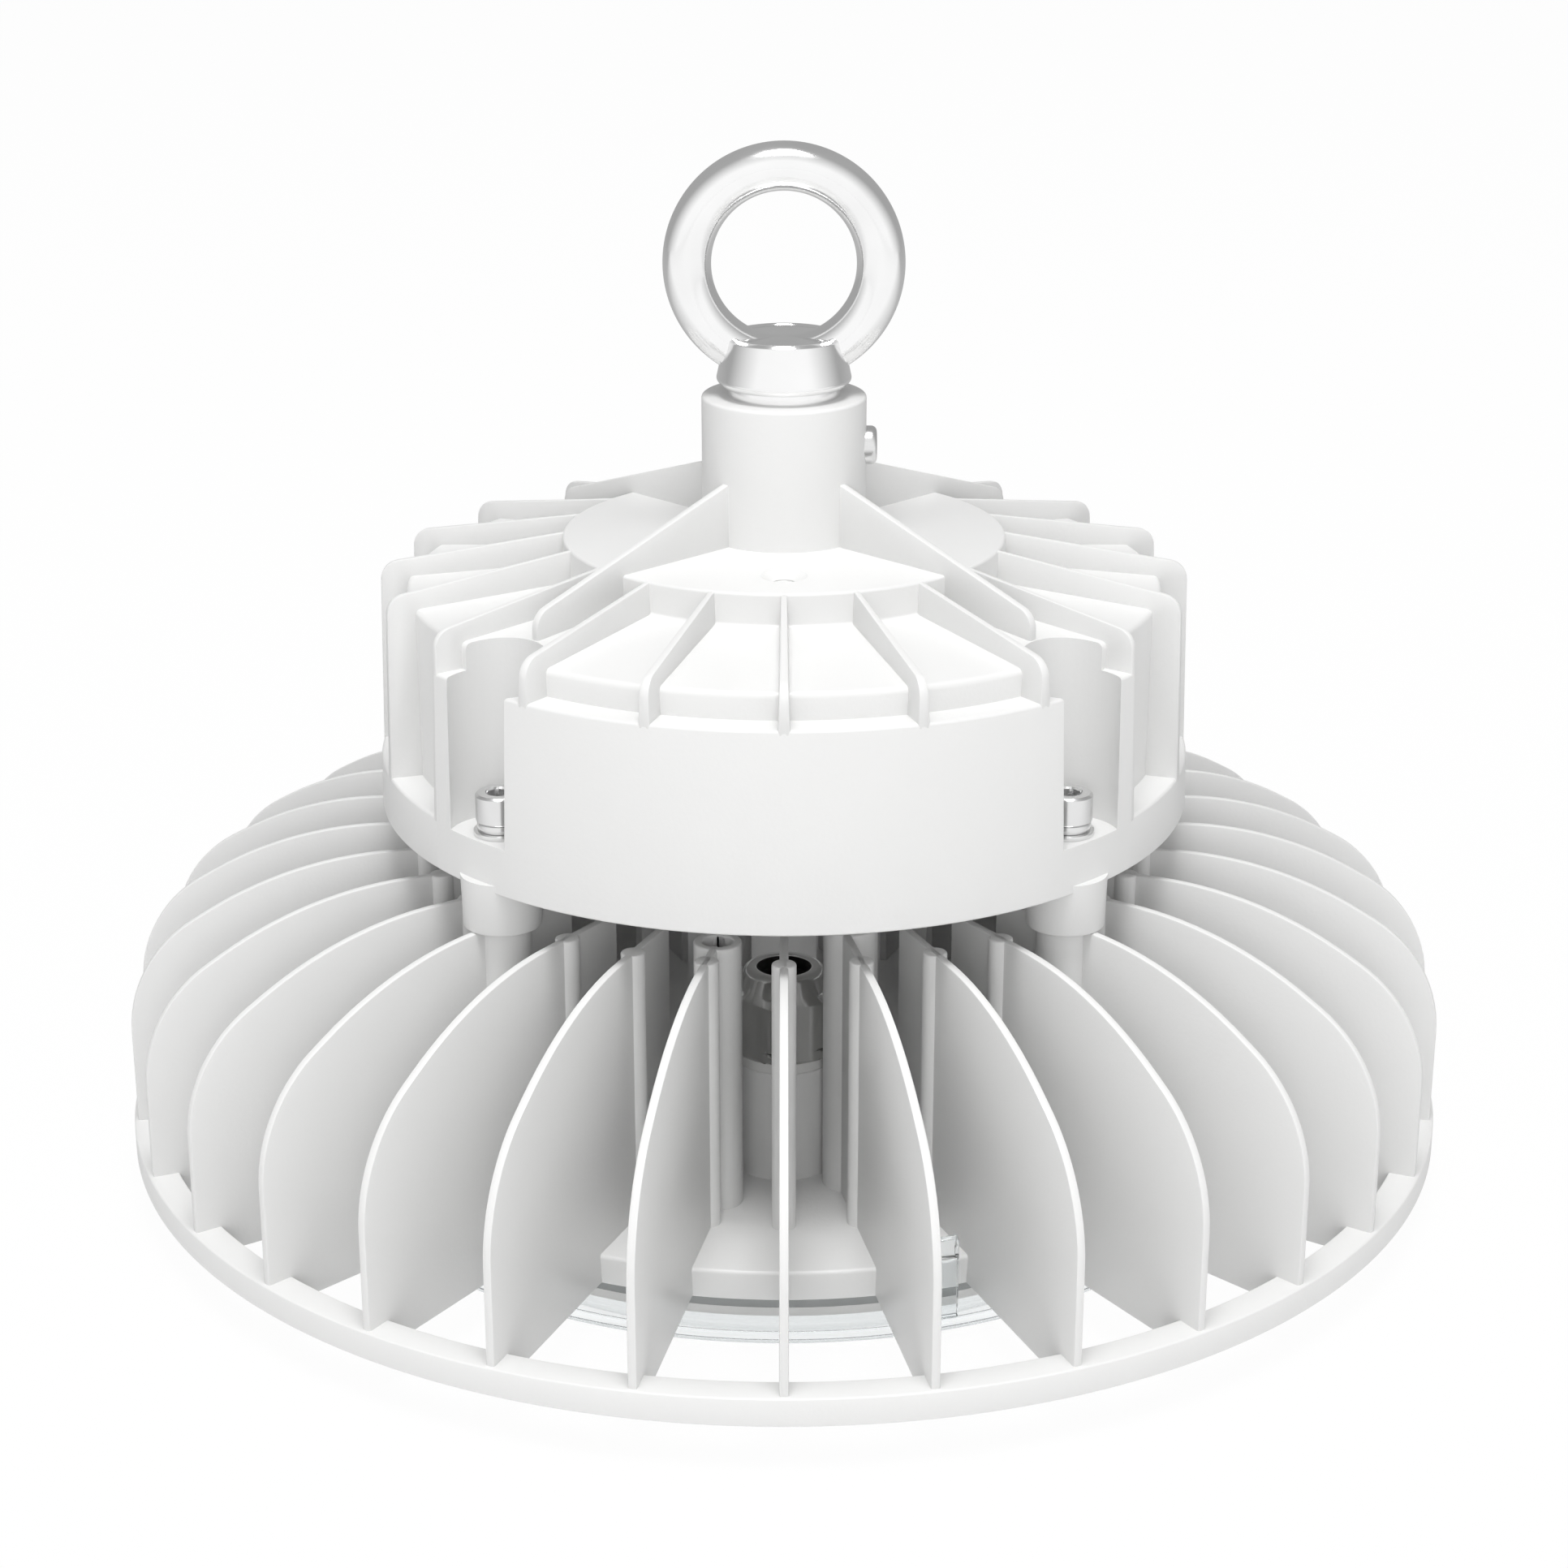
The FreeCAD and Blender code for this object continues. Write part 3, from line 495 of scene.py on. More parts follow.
def rounded(corners, steps=6):
    """Outline points of (x, z) or (x, z, rounding) corners, with an arc at each rounding."""
    places = [Vector(corner[:2]) for corner in corners]
    points = []
    for i, corner in enumerate(corners):
        here = places[i]
        if len(corner) == 2:
            points.append(here)
            continue
        back = (places[i - 1] - here).normalized()
        ahead = (places[(i + 1) % len(places)] - here).normalized()
        half = back.angle(ahead) / 2
        reach = corner[2] / math.tan(half)
        centre = here + (back + ahead).normalized() * (corner[2] / math.sin(half))
        start = here + back * reach - centre
        sweep = start.angle_signed(here + ahead * reach - centre)
        for step in range(steps + 1):
            turned = start.copy()
            turned.rotate(Matrix.Rotation(-sweep * step / steps, 2))
            points.append(centre + turned)
    return points


def lathe(corners, segments=96, sweep=math.tau, at=(0.0, 0.0), steps=6, radius_of=None):
    """Solid turned about an upright axis from a closed outline; a part turn faces the front."""
    outline = rounded(corners, steps)
    full = abs(sweep - math.tau) < 1e-6
    stations = segments if full else segments + 1
    verts = []
    faces = []
    rows = []
    for point in outline:
        if point.x < 1e-9:
            verts.append((at[0], at[1], point.y))
            rows.append([len(verts) - 1] * stations)
            continue
        row = []
        for station in range(stations):
            angle = sweep * station / segments - (0.0 if full else sweep / 2)
            radius = radius_of(point, angle) if radius_of else point.x
            verts.append((at[0] + radius * math.sin(angle), at[1] - radius * math.cos(angle),
                          point.y))
            row.append(len(verts) - 1)
        rows.append(row)
    for here, row in enumerate(rows):
        other = rows[(here + 1) % len(rows)]
        for station in range(segments):
            ahead = (station + 1) % stations
            ring = [row[station], row[ahead], other[ahead], other[station]]
            face = [v for i, v in enumerate(ring) if v not in ring[:i]]
            if len(face) > 2:
                faces.append(face)
    if not full:
        faces.append([row[0] for row in rows])
        faces.append([row[-1] for row in reversed(rows)])
    return verts, faces


def blade(corners, thickness, draft=0.0, steps=6):
    """Upright plate in the front radial plane. A draft thickens it below its highest point."""
    outline = rounded(corners, steps)
    top = max(point.y for point in outline)
    verts = []
    for side in (-1, 1):
        for point in outline:
            half = thickness / 2 + draft * (top - point.y)
            verts.append((side * half, -point.x, point.y))
    count = len(outline)
    faces = [list(range(count)), list(range(2 * count - 1, count - 1, -1))]
    for i in range(count):
        ahead = (i + 1) % count
        faces.append([i, ahead, count + ahead, count + i])
    return verts, faces


def rod(radius, bottom, top, edge=0.0, segments=32, at=(0.0, 0.0)):
    """Upright rod with a rounded top edge."""
    crown = (radius, top, edge) if edge else (radius, top)
    return lathe([(0.0, bottom), (radius, bottom), crown, (0.0, top)], segments, at=at, steps=3)


def hexagon(across_flats, first):
    """Radius of a hexagon at an angle, with a corner at the angle first."""

    def radius(angle):
        within = (angle - first) % (math.pi / 3) - math.pi / 6
        return across_flats / 2 / math.cos(within)
    return radius


def socket_radius(across_flats):
    """Radius rule for a lathe whose innermost points follow a hexagon socket."""
    flat = hexagon(across_flats, 0.0)

    def radius(point, angle):
        return flat(angle) if point.x < across_flats / 2 + HAIR else point.x
    return radius


def nut_radius(across_flats, first):
    """Radius rule for a lathe whose outermost points are cut to a hexagon."""
    flat = hexagon(across_flats, first)

    def radius(point, angle):
        return min(point.x, flat(angle)) if point.x > across_flats / 2 - NUT_CHAMFER else point.x
    return radius


def at_angle(solid, angle):
    spin = Matrix.Rotation(angle, 3, "Z")
    return [tuple(spin @ Vector(vert)) for vert in solid[0]], solid[1]


def moved(solid, offset):
    return [tuple(Vector(vert) + Vector(offset)) for vert in solid[0]], solid[1]


def around(solid, count, first=0.0):
    return [at_angle(solid, first + math.tau * i / count) for i in range(count)]


def piece_of(name, solids, material):
    """Object from solids, at the origin, with its faces pointing outwards."""
    verts = []
    faces = []
    for solid_verts, solid_faces in solids:
        faces += [[len(verts) + v for v in face] for face in solid_faces]
        verts += solid_verts
    mesh = bpy.data.meshes.new(name)
    mesh.from_pydata([tuple(vert) for vert in verts], [], faces)
    work = bmesh.new()
    work.from_mesh(mesh)
    bmesh.ops.remove_doubles(work, verts=work.verts, dist=WELD)
    bmesh.ops.recalc_face_normals(work, faces=work.faces)
    work.to_mesh(mesh)
    work.free()
    piece = bpy.data.objects.new(name, mesh)
    bpy.context.scene.collection.objects.link(piece)
    mesh.materials.append(material)
    return piece


def joined(name, pieces):
    """One piece from several of one material."""
    kept = pieces[0]
    work = bmesh.new()
    for piece in pieces:
        work.from_mesh(piece.data)
    work.to_mesh(kept.data)
    work.free()
    for piece in pieces[1:]:
        discard(piece)
    kept.name = name
    kept.data.name = name
    return kept


def discard(piece):
    mesh = piece.data
    bpy.data.objects.remove(piece)
    bpy.data.meshes.remove(mesh)


def carve(piece, solids, operation="DIFFERENCE"):
    """Cuts solids out of a piece, or adds them to it."""
    tool = piece_of("tool", solids, None)
    modifier = piece.modifiers.new("Carve", "BOOLEAN")
    modifier.operation = operation
    modifier.solver = "EXACT"
    modifier.object = tool
    flatten(piece)
    discard(tool)
    return piece


def spun(name, solids, count, first, material):
    """Piece made of front solids and their copies, spread evenly round the light's axis."""
    values = {"Count": count, "First Angle": first, "Material": material}
    return grow(piece_of(name, solids, material), copies_tree, values)


def soften(piece, width, segments=2, limit=40.0):
    """Rounds the edges of a piece and shades its curves smooth."""
    modifier = piece.modifiers.new("Edges", "BEVEL")
    modifier.width = width
    modifier.segments = segments
    modifier.limit_method = "ANGLE"
    modifier.angle_limit = math.radians(limit)
    modifier.harden_normals = False
    flatten(piece)
    return smooth(piece)


def smooth(piece, limit=32.0):
    piece.data.shade_smooth()
    piece.data.set_sharp_from_angle(angle=math.radians(limit))
    return piece


def settle(piece, slot, *nodes):
    """Puts a finished piece on its body and hides the CAD nodes that it stands for; the slot is
    not used.
    """
    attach(piece, BODY)
    if nodes:
        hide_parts(*nodes)
    return piece


def dress(node, material):
    """Gives a CAD node its finish."""
    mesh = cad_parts[node].data
    mesh.materials.clear()
    mesh.materials.append(material)


# ---- materials ----------------------------------------------------------------------------


def coat_tree(name, colour, extra):
    """Shader group with a colour and more inputs.

    Returns its wiring, input values, output node and place on the object."""
    inputs = {"Colour": (COLOUR, (colour, colour, colour, 1.0))}
    inputs.update({key: (LEVEL, value) for key, value in extra.items()})
    outputs = {"Colour": COLOUR, "Roughness": LEVEL, "Height": LEVEL}
    wiring, inside, outside = new_tree(name, "ShaderNodeTree", inputs, outputs)
    place = wiring.add("ShaderNodeTexCoord").outputs["Object"]
    return wiring, inside.outputs, outside, place


def grain_group():
    """Fine orange peel of a baked coat, with a faint mottle in its colour and gloss."""
    wiring, value, outside, place = coat_tree("Baked Coat", 0.9,
                                              {"Grain": 900.0, "Mottle": 0.03, "Gloss": 0.4})
    peel = wiring.noise(place, value["Grain"], 3.0)
    cloud = wiring.noise(place, 24.0, 3.0, 0.6)
    shade = wiring.maths("MULTIPLY", wiring.maths("SUBTRACT", cloud, 0.5), value["Mottle"])
    colour = wiring.scaled(value["Colour"], wiring.maths("ADD", shade, 1.0))
    gloss = wiring.maths("ADD", value["Gloss"], wiring.maths("MULTIPLY", shade, 3.0))
    wiring.feed_all(outside, {"Colour": colour, "Roughness": gloss, "Height": peel})
    return wiring.tree


def handling_group():
    """Faint rubbing and forging marks on bare metal."""
    wiring, value, outside, place = coat_tree("Handled Metal", 0.7,
                                              {"Marks": 260.0, "Low": 0.15, "High": 0.3})
    stretched = wiring.add("ShaderNodeMapping", {"Vector": place, "Scale": (1.0, 1.0, 6.0)})
    fine = wiring.noise(stretched, value["Marks"], 4.0, 0.6)
    broad = wiring.noise(place, 60.0, 2.0)
    middle = wiring.maths("MULTIPLY", wiring.maths("ADD", fine, broad), 0.5)
    rough = wiring.spread(middle, 0.3, 0.7, value["Low"], value["High"])
    colour = wiring.scaled(value["Colour"], wiring.spread(broad, 0.3, 0.7, 0.94, 1.0))
    wiring.feed_all(outside, {"Colour": colour, "Roughness": rough, "Height": fine})
    return wiring.tree


def textured(name, colour, maker, values, depth, distance, **plain):
    """Material that takes its colour, roughness and bump from a shared group.

    The plain values are the same all over the surface."""
    material = bpy.data.materials.new(name)
    material.use_nodes = True
    wiring = Wiring(material.node_tree)
    surface = material.node_tree.nodes["Principled BSDF"]
    for socket, value in plain.items():
        surface.inputs[socket.replace("_", " ")].default_value = value
    group = wiring.add("ShaderNodeGroup", node_tree=tree(maker))
    wiring.feed_all(group, {"Colour": (*colour[:3], 1.0), **values})
    bump = wiring.add("ShaderNodeBump", {"Height": group.outputs["Height"], "Strength": depth,
                                         "Distance": distance})
    wiring.feed_all(surface, {"Base Color": group.outputs["Colour"],
                              "Roughness": group.outputs["Roughness"], "Normal": bump})
    return material


def powder_coat(name, colour, gloss=0.36):
    values = {"Grain": 900.0, "Mottle": 0.03, "Gloss": gloss}
    return textured(name, colour, grain_group, values, 0.12, 0.0003, Specular_IOR_Level=0.5)


def moulded(name, colour, gloss=0.5, grain=1400.0):
    values = {"Grain": grain, "Mottle": 0.12, "Gloss": gloss}
    return textured(name, colour, grain_group, values, 0.25, 0.0002, Specular_IOR_Level=0.45)


def bare_metal(name, colour, low_gloss, high_gloss, marks=260.0, depth=0.06):
    values = {"Marks": marks, "Low": low_gloss, "High": high_gloss}
    return textured(name, colour, handling_group, values, depth, 0.0002, Metallic=1.0)


def clear_plastic(name, colour, clearness, gloss):
    values = {"Grain": 300.0, "Mottle": 0.01, "Gloss": gloss}
    return textured(name, colour, grain_group, values, 0.004, 0.0001, Metallic=0.0,
                    Transmission_Weight=clearness, IOR=1.2)


def phosphor(name, colour):
    """Fine yellow phosphor of the light packages."""
    values = {"Grain": 2400.0, "Mottle": 0.2, "Gloss": 0.3}
    return textured(name, colour, grain_group, values, 0.2, 0.0001, Specular_IOR_Level=0.5)


# each finish: its maker, the colour that it takes, and what else its maker is told
FINISHES = {
    "heatsink_coat": (powder_coat, "coat"),
    "housing_coat": (powder_coat, "coat"),
    "plate_coat": (powder_coat, "coat", 0.42),
    "eye_steel": (bare_metal, "polish", 0.11, 0.18, 260.0, 0.02),
    "bright_steel": (bare_metal, "steel", 0.2, 0.3, 900.0),
    "steel_screw": (bare_metal, "steel", 0.25, 0.4, 900.0),
    "nickel": (bare_metal, "nickel", 0.13, 0.2, 700.0, 0.015),
    "clear_cover": (clear_plastic, "clear", 1.0, 0.04),
    "clear_optic": (clear_plastic, "clear", 0.8, 0.25),
    "grey_rubber": (moulded, "seal", 0.6),
    "black_rubber": (moulded, "rubber"),
    "pad_grey": (moulded, "seal", 0.7),
    "white_plastic": (moulded, "coat", 0.25),
    "driver_case": (moulded, "potting", 0.5, 500.0),
    "board_mask": (moulded, "board", 0.3),
    "led_package": (phosphor, "phosphor"),
}


finishes = {}


def finish(name):
    """A finish of the light by its name, made the first time it is asked for."""
    if name not in finishes:
        maker, colour, *settings = FINISHES[name]
        colours = bpy.context.scene.highbay_finish
        finishes[name] = maker(name, getattr(colours, colour), *settings)
    return finishes[name]


# ---- heatsink -----------------------------------------------------------------------------


class HIGHBAY_OT_heatsink(bpy.types.Operator):
    """Base disc, outer ring, fins, posts, columns, bosses and gland riser"""
    bl_idname = "highbay.heatsink"
    bl_label = "Heatsink"

    def execute(self, context):
        s = context.scene.highbay_heatsink
        white = finish("heatsink_coat")
        base_top = s.base_z + s.disc_height
        root = base_top - HEATSINK_ROOT
        self.body(s, white, base_top)
        self.fins(s, white, root)
        self.rods(s, white, root)
        return {"FINISHED"}

    def body(self, s, white, base_top):
        ceiling = s.base_z + s.recess_depth
        ring_top = s.base_z + s.ring_height
        taper = 0.8 * MM
        disc = lathe([(0.0, ceiling), (s.recess_radius, ceiling), (s.recess_radius, s.base_z),
                      (s.disc_radius - taper, s.base_z, s.edge),
                      (s.disc_radius, base_top, 2 * s.edge), (0.0, base_top)], 192, steps=4)
        ring = lathe([(s.ring_inner, s.base_z, s.edge), (s.ring_outer, s.base_z, s.edge),
                      (s.ring_outer, ring_top, s.edge), (s.ring_inner, ring_top, s.edge)],
                     288, steps=3)
        body = smooth(piece_of("heatsink_base", [disc, ring], white))
        settle(body, "heatsink_coat", "heatsink")

    def fins(self, s, white, root):
        overlap = 3 * MM
        fins = piece_of("heatsink_fins", [rod(MM, 0.0, MM)], white)
        grow(fins, fins_tree, {
            "Count": s.fin_count, "Thickness": s.fin_thickness, "Inside": s.fin_inner,
            "Outside": s.fin_outer, "Disc Edge": s.disc_radius - overlap, "Underside": s.base_z,
            "Root": root, "Top": s.top_z, "Crown Corner": s.crown_radius,
            "Crown Rounding": s.crown_rounding, "Shoulder": s.base_z + s.shoulder_height,
            "Shoulder Rounding": s.shoulder_rounding, "Material": white})
        soften(fins, s.edge, 2)
        hole = rod(s.boss_hole / 2, s.top_z - s.boss_depth, s.top_z + MM, 0.0, 48,
                   (0.0, -s.boss_pitch))
        settle(smooth(carve(fins, around(hole, s.boss_count, s.boss_angle))), "heatsink_coat")

    def rods(self, s, white, root):
        """Posts, columns, drilled bosses, pillars, centre post and gland riser, as one piece."""
        top = s.top_z

        def upright(diameter, segments, at=(0.0, 0.0), height=top):
            return rod(diameter / 2, root, height, s.edge, segments, at)

        outer, hole, floor = s.boss_diameter / 2, s.boss_hole / 2, top - s.boss_depth
        boss = lathe([(0.0, root), (outer, root), (outer, top, s.edge), (hole, top, s.edge),
                      (hole, floor), (0.0, floor)], 48, at=(0.0, -s.boss_pitch), steps=3)
        kinds = (
            ("posts", upright(s.post_diameter, 28, (0.0, -s.post_pitch)), s.fin_count, 0.0),
            ("columns", upright(s.column_diameter, 48, (0.0, -s.column_pitch)), s.boss_count,
             s.column_angle),
            ("bosses", boss, s.boss_count, s.boss_angle),
            ("pillars", upright(s.pillar_diameter, 48, (0.0, -s.pillar_pitch)), s.boss_count,
             s.pillar_angle))
        rods = [spun(name, [solid], count, first, white) for name, solid, count, first in kinds]
        gland = (low("gland_washer") + high("gland_washer")) / 2 * MM
        riser_top = low("gland_washer").z * MM
        lone = [upright(s.centre_diameter, 48),
                upright(s.riser_diameter, 64, (gland.x, gland.y), riser_top)]
        rods.append(piece_of("lone", lone, white))
        settle(smooth(joined("heatsink_posts", rods)), "heatsink_coat")


# ---- driver housing -----------------------------------------------------------------------


class HIGHBAY_OT_housing(bpy.types.Operator):
    """Ribbed drum with its stepped top, stem, screw pockets and feet"""
    bl_idname = "highbay.housing"
    bl_label = "Driver Housing"

    def execute(self, context):
        s = context.scene.highbay_housing
        white = finish("housing_coat")
        settle(self.drum(s, white), "housing_coat", "driver_housing")
        self.ribs(s, white)
        self.stem(s, white)
        dress("driver_base_plate", finish("plate_coat"))
        dress("vent_plug", finish("white_plastic"))
        return {"FINISHED"}

    def outside(self, s, z):
        return s.drum_radius - s.drum_draft * (z - s.drum_z)

    def drum(self, s, white):
        """Drum with its front and back sectors, screw pockets and vent."""
        rim_top = s.drum_z + s.rim_height
        ledge = s.drum_z + s.ledge_height
        top = s.drum_z + s.disc_height
        ceiling = s.drum_z + s.plate_depth
        core = lathe([(0.0, ceiling), (s.plate_radius, ceiling), (s.plate_radius, s.drum_z),
                      (self.outside(s, s.drum_z), s.drum_z, s.edge),
                      (self.outside(s, rim_top), rim_top, 2 * s.edge), (s.wall_radius, rim_top),
                      (s.wall_radius, s.drum_z + s.shoulder_height, 4 * s.edge),
                      (s.disc_radius, s.drum_z + s.terrace_height, 2 * s.edge),
                      (s.disc_radius, top, 2 * s.edge), (0.0, top)], 180, steps=4)
        inner = s.wall_radius - HOUSING_ROOT
        sector = lathe([(inner, s.drum_z + s.edge),
                        (self.outside(s, s.drum_z) + HAIR, s.drum_z + s.edge),
                        (self.outside(s, ledge) + HAIR, ledge, 2 * s.edge), (inner, ledge)],
                       54, 2 * s.sector_half, steps=4)
        pocket = rod(s.pocket_radius, s.drum_z + s.pocket_floor, top + 5 * MM, 0.0, 64,
                     (0.0, -s.pocket_pitch))
        hole, sink, floor = s.vent_hole / 2, s.vent_sink / 2, top - 3 * MM
        vent = lathe([(0.0, floor), (hole, floor), (hole, top - s.vent_depth), (sink, top + HAIR),
                      (sink, top + MM), (0.0, top + MM)], 48, at=(0.0, -s.vent_pitch))
        body = carve(piece_of("housing_drum", [core], white), around(sector, 2), "UNION")
        return smooth(carve(body, around(pocket, s.pocket_count, s.pocket_angle) + [vent]))

    def rib(self, s, foot, draft):
        """Rib from the disc to the drum's outside, down to the height foot."""
        top = s.drum_z + s.disc_height
        corner_z = top - s.rib_slope * (self.outside(s, top) - s.disc_radius)
        end_z = foot - HOUSING_ROOT
        wall = s.wall_radius - HOUSING_ROOT
        disc = s.disc_radius - HOUSING_ROOT
        return blade([(disc, top - HAIR), (self.outside(s, corner_z), corner_z, s.rib_rounding),
                      (self.outside(s, end_z), end_z), (wall, end_z),
                      (wall, s.drum_z + s.shoulder_height - HOUSING_ROOT),
                      (disc, s.drum_z + s.terrace_height - HOUSING_ROOT)],
                     s.rib_thickness, draft, 8)

    def ribs(self, s, white):
        """Short ribs over the front and back ledges, long ones over the side panels."""
        short = self.rib(s, s.drum_z + s.ledge_height, s.short_draft)
        long = self.rib(s, s.drum_z + s.rim_height, s.long_draft)
        pitch = math.tau / s.rib_count
        pairs = []
        for i in range(s.rib_count // 2):
            angle = i * pitch
            over_ledge = min(angle, math.pi - angle) < s.sector_half - pitch / 2
            blank = at_angle(short if over_ledge else long, angle)
            pairs.append(spun("rib", [blank], 2, 0.0, white))
        settle(soften(joined("housing_ribs", pairs), s.edge, 2), "housing_coat")

    def stem(self, s, white):
        """Stem with its four ribs, and the four feet under the drum."""
        top = s.drum_z + s.disc_height
        sunk = top - HOUSING_ROOT
        terrace = s.drum_z + s.terrace_height
        shoulder = s.drum_z + s.shoulder_height
        fall = (terrace - shoulder) / (s.wall_radius - s.disc_radius)
        end_z = shoulder + fall * (s.wall_radius - s.stem_rib_end) - HOUSING_ROOT
        start = s.stem_radius - HOUSING_ROOT
        disc = s.disc_radius - HOUSING_ROOT
        blank = blade([(start, sunk), (start, top + s.stem_rib_height),
                       (s.stem_rib_end, top - s.stem_rib_drop, s.rib_rounding),
                       (s.stem_rib_end, end_z), (disc, terrace - HOUSING_ROOT), (disc, sunk)],
                      s.stem_rib_thickness, 0.0, 8)
        rib = spun("stem_ribs", [blank], s.pocket_count, s.pocket_angle, white)
        soften(rib, s.edge, 2)
        bore = 8.0 * MM
        stem = lathe([(bore, sunk), (s.stem_radius, sunk), (s.stem_radius, s.stem_z, 2 * s.edge),
                      (bore, s.stem_z)], 96, steps=4)
        hole = 3.3 * MM
        reach = s.foot_diameter / 2
        spread = s.foot_draft * (s.drum_z - s.foot_z)
        foot_top = s.drum_z + 2 * MM
        foot = lathe([(hole, s.foot_z), (reach, s.foot_z, s.edge), (reach + spread, foot_top),
                      (hole, foot_top)], 64, at=(0.0, -s.pocket_pitch), steps=3)
        solids = [stem] + around(foot, s.pocket_count, s.pocket_angle)
        stem = joined("housing_stem", [piece_of("stem", solids, white), rib])
        settle(smooth(stem), "housing_coat")


# ---- eye bolt -----------------------------------------------------------------------------


class HIGHBAY_OT_eye(bpy.types.Operator):
    """Forged eye on its tapered collar, with the spigot and shank"""
    bl_idname = "highbay.eye"
    bl_label = "Eye Bolt"

    def execute(self, context):
        s = context.scene.highbay_eye
        steel = finish("eye_steel")
        collar_z = s.seat_z + s.spigot_height
        top = collar_z + s.collar_height
        lip, shank, spigot = s.collar_top / 2, s.shank / 2, s.spigot / 2
        dish_z = top - 0.4 * MM
        body = lathe([(0.0, s.low_z), (shank, s.low_z, 0.6 * MM), (shank, s.seat_z),
                      (spigot, s.seat_z), (spigot, collar_z), (s.collar_foot / 2, collar_z),
                      (s.collar_belly / 2, collar_z + s.belly_height, 1.2 * MM),
                      (lip, top - 0.8 * MM, 0.6 * MM), (lip - 0.9 * MM, top, 0.4 * MM),
                      (lip - 1.8 * MM, top, 0.3 * MM), (lip - 2.2 * MM, dish_z), (0.0, dish_z)],
                     128, steps=5)
        middle = s.outside - s.wire / 2
        centre_z = s.top_z - s.outside
        ring = self.ring(middle, s.wire / 2, centre_z, 144, 48)
        eye = smooth(piece_of("eye", [body, ring], steel))
        settle(eye, "eye_steel", "eye_bolt")
        return {"FINISHED"}

    def ring(self, radius, wire, centre_z, segments, sides):
        """Round bar bent to a circle that faces the front."""
        verts = []
        faces = []
        for i in range(segments):
            along = math.tau * i / segments
            for j in range(sides):
                around_bar = math.tau * j / sides
                reach = radius + wire * math.cos(around_bar)
                verts.append((reach * math.sin(along), wire * math.sin(around_bar),
                              centre_z + reach * math.cos(along)))
                right = (i + 1) % segments * sides
                up = (j + 1) % sides
                faces.append([i * sides + j, right + j, right + up, i * sides + up])
        return verts, faces


# ---- cable gland --------------------------------------------------------------------------


class HIGHBAY_OT_gland(bpy.types.Operator):
    """Cable gland: body with its thread, cap nut, seal and washer"""
    bl_idname = "highbay.gland"
    bl_label = "Cable Gland"

    def execute(self, context):
        s = context.scene.highbay_gland
        middle = (low("gland_cap_nut") + high("gland_cap_nut")) / 2 * MM
        at = (middle.x, middle.y)
        settle(self.cap(s, at), "nickel", "gland_cap_nut")
        settle(self.body(s, at), "nickel", "gland_body")
        dress("gland_washer", finish("grey_rubber"))
        dress("gland_seal", finish("black_rubber"))
        return {"FINISHED"}

    def cap(self, s, at):
        """Hexagon with chamfered corners that turns into a round dome."""
        reach = s.across_flats / math.sqrt(3)
        flat = s.across_flats / 2
        dome_z = s.top_z - s.dome
        mouth = s.mouth / 2
        corners = [(mouth, s.cap_z), (reach - NUT_CHAMFER, s.cap_z), (reach, s.cap_z + 0.7 * MM),
                   (reach, dome_z - 1.4 * MM), (flat - 0.5 * MM, dome_z),
                   (flat - 0.9 * MM, dome_z + 0.6 * MM),
                   (s.dome_top / 2 + 0.2 * MM, s.top_z, 2.2 * MM), (mouth, s.top_z, 0.5 * MM)]
        cap = lathe(corners, 144, at=at, steps=6,
                    radius_of=nut_radius(s.across_flats, s.corner_angle))
        return smooth(piece_of("gland_cap", [cap], finish("nickel")), NUT_LIMIT)

    def body(self, s, at):
        """Hexagon of the body, with the thread that the cap nut runs on."""
        reach = s.across_flats / math.sqrt(3)
        mouth = s.mouth / 2
        chamfer = 1.0 * MM
        corners = [(mouth, s.low_z), (reach - chamfer, s.low_z), (reach, s.low_z + 0.5 * MM),
                   (reach, s.cap_z - 0.5 * MM), (reach - chamfer, s.cap_z), (mouth, s.cap_z)]
        hexagonal = lathe(corners, 144, at=at,
                          radius_of=nut_radius(s.across_flats, s.corner_angle))
        crest = s.thread / 2
        depth = 0.5 * MM
        turns = 6
        outline = [(mouth, s.cap_z - MM), (crest, s.cap_z - MM)]
        crest_z = s.cap_z
        while crest_z < s.cap_z + turns * s.thread_pitch:
            outline += [(crest, crest_z), (crest - depth, crest_z + s.thread_pitch / 2)]
            crest_z += s.thread_pitch
        outline += [(crest - 0.6 * MM, crest_z), (mouth, crest_z)]
        thread = lathe(outline, 96, at=at)
        return smooth(piece_of("gland_thread", [hexagonal, thread], finish("nickel")), NUT_LIMIT)


# ---- lens and board -----------------------------------------------------------------------


